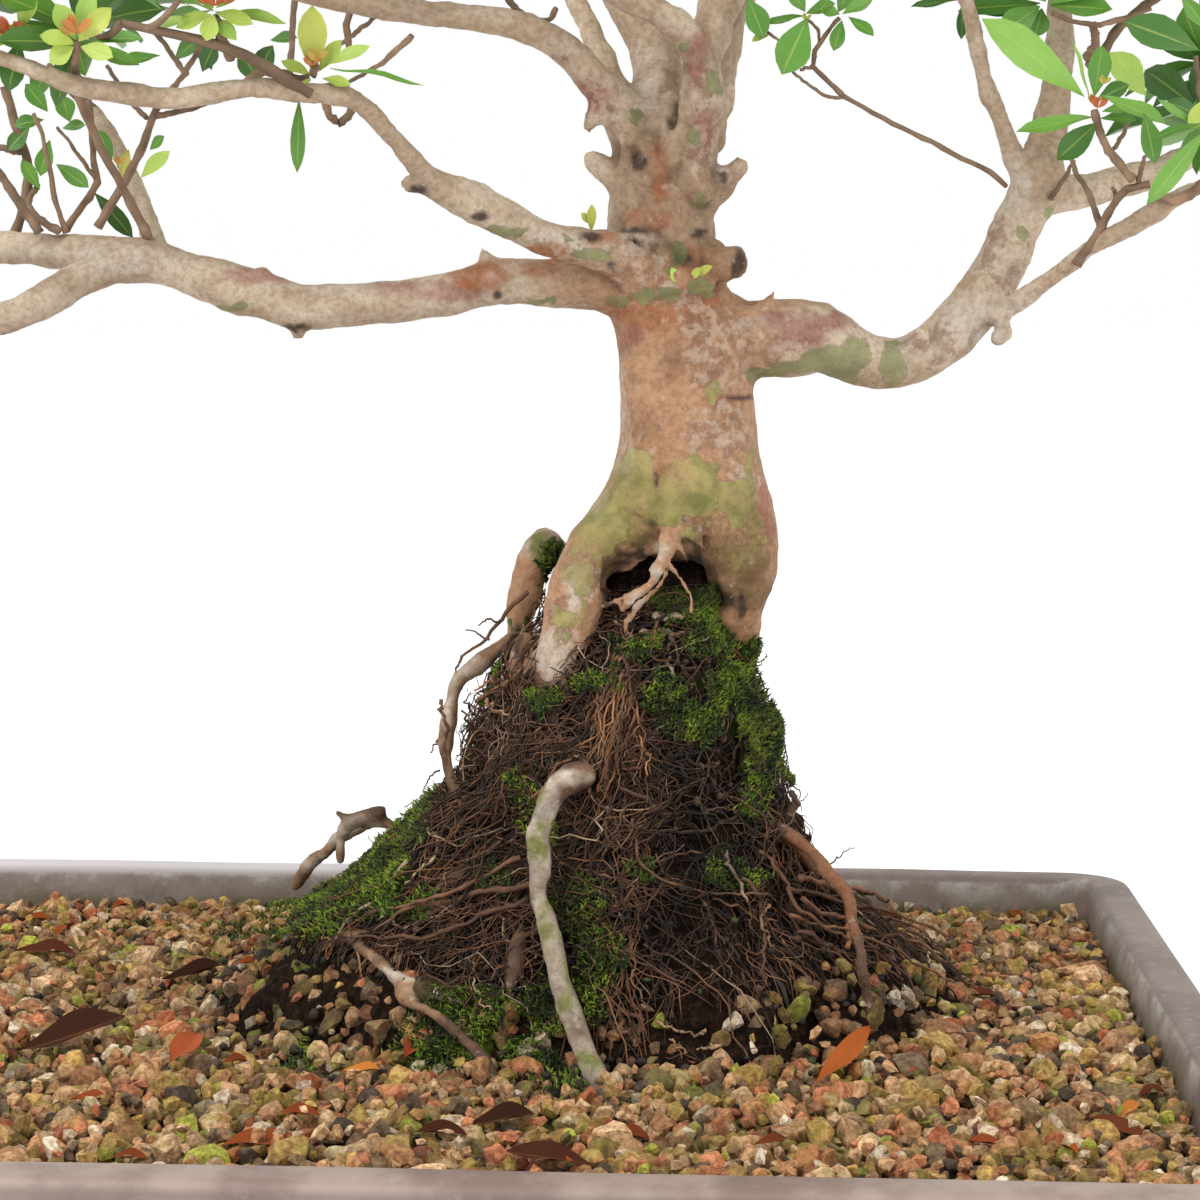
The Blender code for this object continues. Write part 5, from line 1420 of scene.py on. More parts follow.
def make_fine_roots():
    """Hair roots that hang down the mound and tangle, thickest on the front and the left."""
    rng = np.random.default_rng(5)
    for name, count, steps, curl, sway, thin, short, high in HAIR_ROOTS:
        front = rng.uniform(0, 1, count) < 0.66
        angle = np.where(front, rng.normal(-1.8, 0.78, count), rng.uniform(-math.pi, math.pi, count))
        z = np.where(front, 84 + 84 * rng.uniform(0, 1, count) ** 1.05, 64 + 104 * rng.uniform(0, 1, count))
        heading = rng.normal(0, sway, count)
        length = rng.uniform(1.3, 3.9, count) * short
        angles, heights = walked(angle, z, heading, steps, length, curl, rng)
        lift = rng.uniform(0.2, 2.2, (count, 1)) + np.cumsum(rng.normal(0, 0.42, (count, steps)), 1)
        lift = np.clip(lift, -0.2, high)
        lines = mound_point(angles, np.maximum(heights, 56), lift) + rng.normal(0, 0.22, (count, steps, 3))
        past = np.maximum(58 - heights, 0)
        out = unit(lines * (1, 1, 0) - MOUND_MIDDLE)
        lines = lines + out * past[..., None] * rng.uniform(0.6, 1.3, (count, 1, 1))
        floor = soil_height(lines[..., 0], lines[..., 1]) + rng.uniform(0.2, 2.6, (count, 1))
        lines[..., 2] = np.maximum(lines[..., 2] + rng.uniform(-0.6, 0.6, (count, 1)), floor)
        ahead = lines[..., 1] < 12
        buried = gravel_edge(lines.reshape(-1, 3)).reshape(count, steps)
        lines[..., 2] -= np.clip(buried / 14, 0, 1) * 7 * ahead
        radii = thin + rng.exponential(0.09, (count, 1)) * np.linspace(1.15, 0.5, steps)
        middle = lines[:, steps // 2]
        bare = painted_flat(middle, DARK_ROOTS_SEEN + THIN_ROOTS_SEEN, 8)
        keep = rng.uniform(0, 1, count) > np.maximum(bare * 0.72, moss_share(middle) * 0.7)
        strand_piece(name, lines[keep], np.minimum(radii[keep], 0.6), ROOT_SHADES, rng)
    make_seen_roots(rng)


def wavy(points, steps, sway, rng):
    """A line through the points with steps even points, swaying sideways."""
    points = np.array(points, float)
    gone = np.concatenate([[0], np.cumsum(np.linalg.norm(np.diff(points, axis=0), axis=1))])
    spots = np.linspace(0, gone[-1], steps)
    line = np.stack([np.interp(spots, gone, points[:, i]) for i in range(3)], -1)
    drift = np.cumsum(rng.normal(0, sway, (steps, 3)), 0)
    drift -= np.linspace(0, 1, steps)[:, None] * drift[-1] * 0.6
    return line + drift


def make_seen_roots(rng):
    """Rootlets and hairs that the picture shows one by one, a beard of them, and a fringe at the outline."""
    lines, radii, tints = [], [], []

    def add(points, sway, first, last, tone, light=None):
        lines.append(wavy(points, SEEN_STEPS, sway, rng))
        radii.append(np.linspace(first, last, SEEN_STEPS))
        tints.append(np.array(tone) * rng.uniform(*light) if light else tone)

    for places, first, last, tone in ROOTLETS:
        slim = 0.6 if 630 < places[0][0] < 655 and places[0][1] > 640 else 0.85
        points = [on_mound_seen(across, down, 2.6 + first * 0.5) for across, down in places]
        line = wavy(points, SEEN_STEPS, 0.42, rng)
        uneven = (1 + 0.18 * rng.normal(0, 1, SEEN_STEPS)).clip(0.6, 1.5)
        lines.append(line)
        radii.append(np.linspace(first, last, SEEN_STEPS) * slim * uneven)
        tints.append(tone)
    for places, depth, radius in HAIRS:
        points = [at(across, down, depth) for across, down in places]
        add(points, 0.12, radius, radius * 0.5, (104, 74, 52))
    for _ in range(BEARD_COUNT):
        across, down = rng.normal(627, 6), rng.normal(652, 8)
        places = [(across, down)]
        for _ in range(6):
            across, down = across + rng.normal(-5, 5.5), down + rng.uniform(10, 28)
            places.append((across, down))
        points = [on_mound_seen(*place, rng.uniform(1.5, 4.5)) for place in places]
        add(points, 0.4, 0.34, 0.16, (150, 106, 72), (0.5, 1.2))
    for _ in range(FRINGE_COUNT):
        side = rng.choice((-1, 1))
        z = rng.uniform(84, 158)
        angle = (0 if side > 0 else math.pi) + rng.normal(0, 0.9)
        start = mound_point(np.array([angle]), np.array([z]), -1.0)[0]
        out = np.array([math.cos(angle), math.sin(angle), rng.uniform(-0.8, 0.9)])
        reach = rng.uniform(2, 8)
        end = start + out * reach * 1.2 + (0, 0, rng.uniform(-6, 2))
        add([start, start + out * reach, end], 0.25, 0.28, 0.12, (96, 68, 48), (0.6, 1.3))
    verts, faces = tubes(np.array(lines), np.array(radii), 5)
    each = len(verts) // len(lines)
    tint = np.repeat(rgb_rows(tints), each, 0)
    tint = tint * (1 + 0.5 * fractal(verts, 2.5, 2, 91))[:, None].clip(0.5, 1.5)
    add_piece("rootlets", verts + TREE, faces, STRAND_MATERIAL, "mound", tint=tint)


def tufts(places, normals, length, rng):
    """Small three-sided shoots that stand on a surface."""
    count = len(places)
    way = unit(normals + rng.normal(0, 0.55, (count, 3)) + (0, 0, 0.3))
    side = unit(np.cross(way, rng.normal(0, 1, (count, 3))))
    other = np.cross(way, side)
    size = length * rng.uniform(0.6, 1.3, (count, 1))
    turns = np.arange(3) * 2 * math.pi / 3
    wide = size * 0.32
    base = [places + (side * math.cos(t) + other * math.sin(t)) * wide - way * 0.5 for t in turns]
    verts = np.stack([*base, places + way * size], 1).reshape(-1, 3)
    faces = np.array([[0, 1, 3], [1, 2, 3], [2, 0, 3]])
    return verts, copies_of(faces, count, 4)


# The most shoots of moss on the mound's sides, on the ground and on the wood, and their colours
MOSS_COUNTS = (25000, 7000, 4000)
MOSS_TONES = ((38, 50, 12), (70, 90, 16), (104, 134, 24), (150, 174, 44), (124, 118, 44))


def make_moss(wood):
    """Cushions of moss on the mound and on the feet of the roots."""
    rng = np.random.default_rng(8)
    angle = rng.uniform(-math.pi, math.pi, 240000)
    z = 55 + 124 * rng.uniform(0, 1, len(angle)) ** 1.4
    places = mound_point(angle, np.minimum(z, 164))
    places[:, 2] += np.maximum(z - 164, 0)
    keep = rng.uniform(0.25, 1.25, len(angle)) < moss_share(places)
    angle, places = angle[keep][: MOSS_COUNTS[0]], places[keep][: MOSS_COUNTS[0]]
    normals = np.stack([np.cos(angle), np.sin(angle), np.full_like(angle, 0.45)], -1)
    swell = rng.uniform(0, 1.2, len(angle)) + fractal(places, 6, 2, 14).clip(0, 1) * 2.4 + 1.6
    places = places + unit(normals) * swell[:, None]
    x, y = rng.uniform(-180, 60, 64000), rng.uniform(-112, 124, 64000)
    flat = np.stack([x, y, top_height(x, y) + rng.uniform(0.2, 2.4, len(x))], -1)
    thick = painted_flat(flat, MOSS_SEEN, 12) + fractal(flat, 9, 3, 44) * 0.5
    flat = flat[(rng.uniform(0.35, 1.3, len(x)) < thick) & (flat[:, 2] < 84)][: MOSS_COUNTS[1]]
    near = mask_of(wood, MOSS_ON_WOOD) > rng.uniform(0.3, 1.0, len(wood))
    held = wood[near]
    pick = rng.integers(0, len(held), MOSS_COUNTS[2])
    middle = np.array(MOSS_ON_WOOD)[:, :3]
    spots = held[pick] + rng.normal(0, 0.4, (len(pick), 3))
    closest = middle[np.argmin(np.linalg.norm(spots[:, None] - middle, axis=2), 1)]
    places = np.concatenate([places, flat, spots])
    upright = np.tile((0, -0.3, 1.0), (len(flat), 1))
    normals = np.concatenate([unit(normals), upright, unit(spots - closest + (0, -2, 2))])
    verts, faces = tufts(places, unit(normals), 1.15, rng)
    tones = rgb_rows(MOSS_TONES)
    patch = (value_noise(places, 6, 3) + 1) / 2 * 4.4 + rng.normal(0, 1.0, len(places))
    patch = np.clip(patch, 0, 4.99).astype(int)
    dim = 1 - 0.6 * np.clip(fractal(places, 9, 3, 46) * 2.2 + 0.1, 0, 1)
    lit_tips = np.tile([0.35, 0.35, 0.35, 1.3], len(places))[:, None]
    tint = np.repeat(tones[patch] * dim[:, None], 4, 0) * lit_tips
    add_piece("moss", verts + TREE, faces, tinted_material("moss", 0.9), "mound", tint=tint)


# Gravel

# Colours of the grains, and their shares
GRAIN_TONES = (
    (212, 168, 122), (192, 140, 96), (224, 188, 144), (200, 164, 92), (168, 140, 76), (208, 136, 94),
    (232, 210, 178), (152, 122, 88), (120, 100, 76), (84, 70, 58), (172, 98, 60), (238, 222, 196),
    (186, 190, 76),
)

GRAIN_SHARES = (0.17, 0.16, 0.12, 0.1, 0.08, 0.08, 0.05, 0.07, 0.05, 0.03, 0.04, 0.02, 0.03)

# How far up the picture the gravel reaches in front of the mound: (across, down)
GRAVEL_EDGE = np.array((
    (100, 915), (265, 922), (300, 938), (345, 948), (400, 962), (450, 985), (500, 1010), (560, 1030),
    (620, 1030), (660, 1000), (700, 985), (740, 992), (790, 985), (850, 968), (900, 962), (955, 958),
    (1020, 965), (1100, 975),
), float)


def grains(places, sizes, detail, rng):
    """Angular grains: balls cut by planes, stretched and turned at random."""
    ball, faces = icosphere_arrays(detail)
    count = len(places)
    verts = np.tile(ball, (count, 1, 1))
    for _ in range(9):
        way = unit(rng.normal(0, 1, (count, 1, 3)))
        reach = rng.uniform(0.4, 0.8, (count, 1))
        over = np.maximum((verts * way).sum(2) - reach, 0)
        verts = verts - over[..., None] * way
    verts = verts * rng.uniform(0.8, 1.35, (count, 1, 3))
    spin = np.linalg.qr(rng.normal(0, 1, (count, 3, 3)))[0]
    spin[:, :, 0] *= np.sign(np.linalg.det(spin))[:, None]
    verts = np.einsum("nij,nvj->nvi", spin, verts) * (sizes / 2 * 1.2)[:, None, None] + places[:, None]
    verts = verts.reshape(-1, 3)
    return verts + noise_vectors(value_noise, verts, 1.5, seeds=(4, 5, 6)) * 0.2, faces, len(ball)


def make_gravel():
    """Grains in two layers, the near ones in more detail, over a dark bed that closes the gaps and paints the
    shade in them.
    """
    rng = np.random.default_rng(3)
    material = gravel_material()
    spots, sizes, tones = (np.concatenate(both) for both in zip(
        laid_grains(5.0, (3.6, 8.0), 1.62, -1.0, rng), laid_grains(4.8, (1.8, 4.2), 1.12, 0.6, rng),
    ))
    close = (sizes > 4.3) & (spots[:, 1] < 46)
    for number, held, detail in ((1, close, 2), (2, ~close, 1)):
        verts, faces, each = grains(spots[held], sizes[held], detail, rng)
        tint = np.repeat(tones[held], each, 0)
        faces = copies_of(faces, held.sum(), each)
        piece = add_piece("grains_%d" % number, verts + TRAY, faces, material, "gravel", tint=tint)
        piece.data.set_sharp_from_angle(angle=math.radians(22))
        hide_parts("soil")
    half_x, half_y = inner_half(60)
    rows, columns = 60, 44
    x, y = np.meshgrid(
        np.linspace(-half_x, half_x, rows), np.linspace(-half_y, half_y, columns), indexing="ij",
    )
    bed = np.stack([x, y, soil_height(x - FOOT_X, y - FOOT_Y) - 2.4], -1).reshape(-1, 3)
    a, b, c, d = grid_corners(rows, columns)
    quads = np.stack([a, d, c, b], -1)
    # Painted shade: the bed that shows in the gaps between the grains is dark
    shade = np.tile(rgb(44, 32, 22), (len(bed), 1))
    add_piece("gravel_bed", bed + TRAY, quads, material, "gravel", tint=shade)
    make_crumbs(rng)


def laid_grains(step, limits, middle, lift, rng):
    """Places, sizes and colours of one layer of grains, over the bed and up the foot of the mound."""
    half_x, half_y = inner_half(60)
    x, y = np.meshgrid(
        np.arange(-half_x + 2, half_x - 1, step), np.arange(-half_y + 2, half_y - 1, step * 0.86),
    )
    x = x + (np.arange(x.shape[0]) % 2 * step / 2)[:, None]
    x, y = x.ravel(), y.ravel()
    x, y = x + rng.uniform(-1.7, 1.7, len(x)), y + rng.uniform(-1.7, 1.7, len(y))
    sizes = np.clip(rng.lognormal(middle, 0.26, len(x)), *limits)
    keep = (np.abs(x) < half_x - sizes * 0.42) & (np.abs(y) < half_y - sizes * 0.42)
    x, y, sizes = x[keep], y[keep], sizes[keep]
    tree_x, tree_y = x - FOOT_X, y - FOOT_Y
    mound = mound_height(tree_x, tree_y)
    level = soil_height(tree_x, tree_y)
    ground = np.maximum(level, mound)
    spots = np.stack([tree_x, tree_y, ground], -1)
    edge = gravel_edge(spots) + rng.normal(0, 8, len(x))
    front = tree_y < 12
    mossy = painted_flat(spots, MOSS_SEEN, 9)
    keep = (front & (edge > 0) & (mound < 86)) | (~front & (mound < 68 + fractal(spots, 20, 2, 19) * 4))
    keep = (keep | (mound < level + 1)) & ((mossy < 0.5) | (rng.uniform(0, 1, len(x)) > 0.45))
    x, y, sizes, ground = (v[keep] for v in (x, y, sizes, ground))
    rise = rng.uniform(0, 1, len(x))
    tones = rgb_rows(GRAIN_TONES)[rng.choice(len(GRAIN_TONES), len(x), p=GRAIN_SHARES)]
    near = 1 - np.clip((np.hypot((x - 42) / 100, (y - 20) / 72) - 0.75) / 0.5, 0, 1)
    earth = (near * rng.uniform(0.0, 1.0, len(x)))[:, None] * 0.75
    # Painted shade: the lower a grain lies, the darker it is
    tones = tones * (0.32 + 1.02 * rise * rng.uniform(0.7, 1.1, len(x)))[:, None]
    tones = tones * (1 - earth) + np.array(rgb(58, 44, 30)) * earth
    return np.stack([x, y, ground + lift - 1.6 + 3.3 * rise], -1), sizes, tones


def gravel_edge(points):
    """How far, in the picture, points lie below the edge of the gravel heaped on the mound."""
    seen = seen_at(points)
    edge = np.interp(seen[..., 0], GRAVEL_EDGE[:, 0], GRAVEL_EDGE[:, 1])
    return seen[..., 1] - edge - fractal(points, 14, 3, 17) * 12


def make_crumbs(rng):
    """Dark crumbs of old soil and bits of bark on the mound and round its foot."""
    count = 700
    angle = rng.uniform(-math.pi, math.pi, count)
    reach = rng.normal(0.98, 0.14, count)
    x = -28 + 97 * reach * np.cos(angle)
    y = 6 + 68 * reach * np.sin(angle)
    keep = (np.abs(x + FOOT_X) < 182) & (np.abs(y + FOOT_Y) < 130)
    x, y = x[keep], y[keep]
    places = np.stack([x, y, top_height(x, y) + rng.uniform(0.4, 2.2, len(x))], -1)
    above = mound_point(rng.normal(-1.6, 1.2, 600), rng.uniform(78, 160, 600), rng.uniform(0.2, 1.6, 600))
    places = np.concatenate([places, above])
    sizes = rng.uniform(0.8, 2.6, len(places))
    ball, faces = icosphere_arrays(1)
    verts = ball * rng.uniform(0.5, 1.4, (len(places), 1, 3)) * (sizes / 2)[:, None, None] + places[:, None]
    faces = copies_of(faces, len(places), len(ball))
    tones = rgb_rows(((34, 26, 19), (58, 42, 30), (92, 64, 42), (60, 72, 22)))
    tint = np.repeat(tones[rng.choice(4, len(places), p=(0.4, 0.3, 0.15, 0.15))], len(ball), 0)
    add_piece("crumbs", verts.reshape(-1, 3) + TREE, faces, STRAND_MATERIAL, "mound", tint=tint)


# Leaves

# Points in each stem and twig, and how far down the picture only listed leaves may reach
STEM_STEPS = 9
TWIG_STEPS = 18
HERO_DOWN = 30

# Tone of the pads that differ from PAD_TONE, from dark to light
PAD_TONE = 0.42
PAD_TONES = {"far_left": 0.55, "low_left": 0.6, "front_far_left": 0.62, "right_low": 0.6}

# Leaves listed for each pad: (base and tip in the picture, depth, width, how far the face turns
# to the front, tone)
HERO_LEAVES = {
    "right_front": (
        (1084, 97, 986, 17, -12, 10.2, 0.85, 0.8), (1094, 117, 1018, 128, -14, 5.2, 0.55, 0.62),
        (1098, 122, 1058, 159, -8, 7.0, 0.9, 0.3), (1100, 96, 1167, 119, -16, 6.0, 0.55, 0.66),
        (1094, 97, 1103, 46, -6, 6.4, 0.9, 0.5), (1089, 99, 1076, 40, -14, 2.4, 0.3, 0.82),
        (1102, 112, 1138, 103, -8, 4.0, 0.6, 0.5), (1146, 96, 1112, 52, 4, 9.0, 0.8, 0.86),
        (1100, 118, 1136, 118, 0, 5.0, 0.5, 0.42), (1097, 100, 1128, 84, -2, 5.0, 0.7, 0.36),
    ),
    "inner": (
        (807, 18, 783, 73, -14, 9.6, 0.95, 0.5), (806, 16, 762, 22, -8, 4.0, 0.4, 0.46),
        (748, -2, 764, 36, -10, 6.6, 0.9, 0.42), (842, 20, 834, 50, -8, 4.2, 0.9, 0.46),
        (848, 17, 874, 34, -10, 3.6, 0.7, 0.5), (842, 14, 872, -2, -10, 4.4, 0.6, 0.6),
        (806, 14, 834, 2, -8, 4.4, 0.6, 0.5), (840, 14, 820, 8, -8, 4.0, 0.7, 0.6),
        (805, 12, 790, -14, -8, 5.0, 0.8, 0.5), (838, 12, 852, -14, -6, 5.0, 0.8, 0.5),
        (770, 34, 752, 40, -8, 3.0, 0.4, 0.86),
    ),
    "front_left": (
        (313, 74, 312, 6, -58, 7.4, 0.95, 0.93), (330, 68, 423, 78, -60, 3.0, 0.35, 0.56),
        (328, 64, 368, 45, -58, 3.6, 0.7, 0.88), (299, 98, 297, 171, -56, 3.8, 0.9, 0.42),
        (318, 72, 340, 40, -56, 4.0, 0.7, 0.9), (312, 76, 282, 60, -58, 3.6, 0.6, 0.9),
        (322, 78, 350, 84, -60, 4.0, 0.5, 0.9), (310, 78, 296, 96, -60, 3.0, 0.6, 0.93),
        (215, 12, 252, 22, -76, 4.6, 0.6, 0.9), (215, 12, 284, 18, -70, 4.4, 0.5, 0.85),
        (212, 14, 176, 26, -76, 4.6, 0.6, 0.9), (214, 14, 206, 40, -76, 4.6, 0.7, 0.9),
        (212, 10, 158, 24, -70, 4.2, 0.5, 0.86), (214, 8, 190, -18, -74, 5.0, 0.7, 0.9),
        (216, 8, 240, -18, -74, 5.0, 0.7, 0.88), (210, 16, 236, 38, -74, 4.0, 0.7, 0.84),
        (78, 42, 110, 8, -80, 5.4, 0.85, 0.92), (76, 44, 40, 34, -80, 5.0, 0.6, 0.9),
        (74, 46, 50, 62, -80, 5.4, 0.7, 0.9), (80, 46, 112, 56, -80, 5.0, 0.7, 0.9),
        (76, 40, 56, 4, -78, 5.4, 0.8, 0.86), (80, 42, 140, 34, -76, 5.0, 0.5, 0.55),
        (78, 40, 92, -10, -78, 5.0, 0.8, 0.84), (82, 46, 138, 62, -72, 4.6, 0.6, 0.6),
        (20, 40, 8, 90, -70, 6.4, 0.9, 0.2), (18, 30, 34, -6, -76, 4.6, 0.7, 0.88),
        (10, 36, -12, 40, -76, 5.0, 0.7, 0.92),
    ),
    "left_back": (
        (140, 178, 168, 151, -10, 4.4, 0.7, 0.88), (150, 150, 163, 136, 0, 3.2, 0.7, 0.5),
        (112, 165, 99, 130, 6, 4.4, 0.8, 0.4), (56, 164, 88, 186, 0, 5.0, 0.7, 0.46),
        (94, 192, 132, 236, 14, 5.2, 0.8, 0.12), (70, 122, 62, 96, 8, 5.6, 0.8, 0.5),
        (48, 112, 26, 84, -4, 5.0, 0.8, 0.46), (50, 140, 40, 175, 0, 5.0, 0.8, 0.5),
        (62, 128, 84, 124, 10, 4.0, 0.6, 0.4), (44, 120, 14, 124, -2, 4.8, 0.6, 0.36),
        (202, 72, 214, 44, 10, 5.4, 0.9, 0.12), (212, 70, 200, 40, 14, 5.0, 0.9, 0.2),
        (262, 84, 240, 52, 14, 6.4, 0.9, 0.2), (250, 84, 272, 46, 18, 6.0, 0.9, 0.14),
        (174, 60, 200, 36, 16, 5.0, 0.8, 0.4), (160, 56, 120, 60, 6, 5.0, 0.5, 0.5),
        (270, 40, 296, 36, 20, 4.4, 0.6, 0.4), (120, 178, 128, 150, 4, 3.0, 0.7, 0.94),
        (40, 190, 22, 160, 6, 4.0, 0.8, 0.6), (30, 126, 8, 150, 6, 5.0, 0.8, 0.3),
        (36, 100, 44, 66, 10, 6.0, 0.9, 0.4),
    ),
    "right_low": (
        (1200, 50, 1127, 20, -28, 9.6, 0.8, 0.26), (1206, 130, 1148, 203, -30, 5.6, 0.7, 0.62),
        (1144, 112, 1156, 162, -20, 5.8, 0.85, 0.42), (1204, 122, 1150, 136, -26, 3.4, 0.4, 0.4),
        (1196, 128, 1160, 98, -24, 3.4, 0.5, 0.6), (1212, 96, 1190, 128, -24, 5.0, 0.7, 0.9),
        (1206, 118, 1168, 100, -10, 5.4, 0.6, 0.2), (1216, 116, 1230, 170, -22, 5.4, 0.8, 0.5),
        (1214, 120, 1250, 110, -22, 5.4, 0.6, 0.6), (1210, 112, 1226, 72, -22, 5.4, 0.8, 0.45),
        (1200, 12, 1216, -30, -20, 5.0, 0.7, 0.5), (1180, -6, 1206, 26, -10, 5.0, 0.8, 0.5),
    ),
    "right_up": (
        (1040, 6, 1000, 34, 10, 8.0, 0.85, 0.5), (1040, 4, 960, 6, 14, 7.6, 0.6, 0.36),
        (1048, 6, 1112, 6, 8, 8.0, 0.6, 0.48), (1042, 8, 1036, 36, 12, 6.0, 0.85, 0.4),
        (1044, 0, 1050, -40, 8, 7.0, 0.8, 0.5), (958, 0, 912, 4, 20, 3.6, 0.5, 0.3),
        (962, 4, 962, 38, 30, 3.4, 0.8, 0.2), (1046, 2, 1010, -30, 8, 7.0, 0.8, 0.5),
        (1050, 4, 1096, -26, 8, 7.0, 0.8, 0.5), (1040, 6, 978, 10, 16, 5.4, 0.6, 0.3),
    ),
}

# Twigs listed one by one: (places in the picture with depths, radius at the start, radius at the end)
HERO_TWIGS = (
    (((1006, 186, 14), (990, 171, 10), (960, 157, 6), (930, 141, 2), (900, 127, -2), (864, 108, -6),
      (842, 96, -8)), 0.75, 0.65),
    (((842, 96, -8), (828, 82, -9), (814, 68, -9), (816, 52, -8), (826, 36, -8), (840, 18, -8)), 0.7, 0.5),
    (((842, 98, -8), (826, 96, -10), (810, 86, -11), (796, 75, -12), (788, 66, -13)), 0.45, 0.35),
    (((814, 66, -9), (806, 68, -10), (800, 70, -12)), 0.5, 0.4),
    (((816, 58, -8), (818, 30, -6), (806, 16, -8)), 0.45, 0.4),
    (((788, 60, -13), (776, 40, -10), (766, 34, -9), (752, 20, -10)), 0.4, 0.35),
    (((1094, 110, -14), (1100, 132, -14), (1108, 152, -14), (1122, 168, -14), (1134, 180, -14)), 0.95, 1.1),
    (((1138, 182, -14), (1142, 170, -13), (1145, 155, -12)), 0.7, 0.5),
    (((1076, 266, -4), (1088, 248, -5), (1100, 230, -6), (1112, 208, -8), (1130, 188, -12),
      (1150, 184, -14)), 1.3, 0.9),
    (((1070, 152, 2), (1080, 176, 0), (1092, 196, -2), (1101, 226, -6)), 0.6, 0.9),
    (((1074, 160, 8), (1066, 176, 8), (1050, 198, 12)), 0.5, 0.8),
    (((1116, 204, -8), (1117, 194, -9), (1114, 186, -9)), 0.8, 0.5),
    (((1130, 118, 10), (1124, 132, 9), (1112, 148, 8)), 0.5, 0.6),
    (((1150, 192, -14), (1172, 202, -16), (1200, 184, -18), (1230, 150, -22)), 1.4, 1.2),
    (((1205, 110, -24), (1196, 88, -22), (1196, 56, -20)), 0.7, 0.6),
    (((1150, 8, 10), (1120, 20, 8), (1098, 26, 6), (1070, 22, 6), (1052, 14, 8)), 0.8, 0.6),
    (((1160, -6, 14), (1130, 16, 14), (1112, 34, 12), (1104, 52, 12), (1086, 66, 12)), 1.2, 1.6),
    (((1092, 24, 8), (1098, 44, 10), (1086, 58, 12)), 1.0, 1.2),
    (((148, 238, -6), (130, 206, -8), (108, 164, -12), (92, 132, -16), (78, 96, -22)), 1.6, 1.1),
    (((98, 226, 0), (112, 202, 2), (128, 176, 2), (144, 142, 0), (158, 108, -2), (168, 92, -6)), 1.2, 1.0),
    (((66, 230, 4), (80, 208, 6), (96, 182, 8), (92, 158, 8), (92, 120, 6), (90, 100, 4)), 1.1, 0.8),
    (((96, 178, 8), (78, 156, 6), (66, 138, 4), (58, 126, 4)), 0.6, 0.4),
    (((66, 232, -2), (56, 196, -4), (48, 160, -6), (42, 132, -6), (34, 112, -8)), 0.8, 0.5),
    (((14, 236, 8), (26, 200, 8), (26, 160, 8), (14, 120, 6), (4, 86, 4)), 1.7, 1.5),
    (((26, 152, 8), (12, 150, 6), (-8, 146, 6)), 1.0, 0.9),
    (((40, 232, -6), (22, 208, -8), (6, 184, -10), (-10, 160, -12)), 1.3, 1.0),
    (((60, 232, -4), (44, 222, -2), (30, 206, 2), (40, 186, 8)), 1.1, 0.8),
    (((146, 118, -1), (134, 106, 2), (120, 84, 6), (106, 64, 8)), 0.7, 0.5),
    (((156, 116, -2), (184, 112, 2), (206, 104, 4), (220, 95, 6)), 0.8, 0.6),
    (((168, 94, -20), (184, 74, -12), (196, 56, -8), (204, 40, 0)), 0.8, 0.6),
    (((186, 74, -12), (172, 58, -8), (164, 44, -4), (150, 30, 0)), 0.8, 0.6),
    (((240, 92, -50), (262, 72, -56), (284, 74, -58), (300, 80, -58), (310, 78, -58)), 1.2, 0.9),
    (((322, 96, -40), (330, 114, -42), (340, 124, -42), (350, 116, -40), (356, 100, -38)), 1.0, 1.0),
    (((346, 84, -44), (384, 64, -50), (400, 50, -52), (412, 36, -54)), 0.4, 0.8),
    (((290, 92, -50), (292, 60, -30), (294, 20, -10), (298, -10, 0)), 0.8, 0.8),
    (((350, 50, -20), (346, 30, -18), (352, 10, -16), (350, -10, -14)), 0.9, 0.9),
    (((330, 46, -20), (344, 40, -20), (360, 24, -18), (376, 12, -18)), 0.6, 0.6),
    (((230, 60, -70), (218, 36, -74), (214, 14, -75)), 1.3, 0.9),
    (((78, 84, -66), (76, 62, -76), (78, 44, -80)), 1.2, 0.8),
    (((504, -8, -10), (514, 8, -12), (534, 22, -14), (550, 20, -14), (556, 8, -12)), 0.9, 0.7),
    (((312, 76, -58), (314, 68, -58), (316, 58, -59)), 0.9, 1.1),
)

# Buds: (across, down in the picture, depth, length, tone)
BUDS = (
    (318, 62, -60, 4.6, 0.97), (312, 66, -60, 3.6, 0.99), (78, 34, -81, 6, 0.99), (70, 36, -80, 4, 0.97),
    (215, 6, -77, 7, 1.0), (204, 4, -77, 5, 0.98), (228, 4, -77, 5, 0.99), (10, 36, -77, 6, 1.0),
    (20, 34, -77, 4, 0.97), (1098, 108, -15, 4, 1.0), (1104, 84, -13, 3, 0.96), (120, 164, 0, 3, 0.98),
    (1094, 104, -14, 3.4, 0.98), (806, 20, -10, 2.4, 0.95),
)

# Young leaves on the neck, in the same form as the listed leaves
SHOOTS = (
    (591, 232, 592, 205, -10, 2.6, 0.8, 0.93), (590, 224, 582, 213, -10, 2.2, 0.7, 0.9),
    (680, 286, 672, 268, -15, 2.6, 0.8, 0.88), (681, 280, 670, 276, -15, 2.2, 0.8, 0.9),
    (692, 276, 712, 266, -14, 2.4, 0.7, 0.94), (690, 280, 700, 268, -14, 2.2, 0.7, 0.92),
)

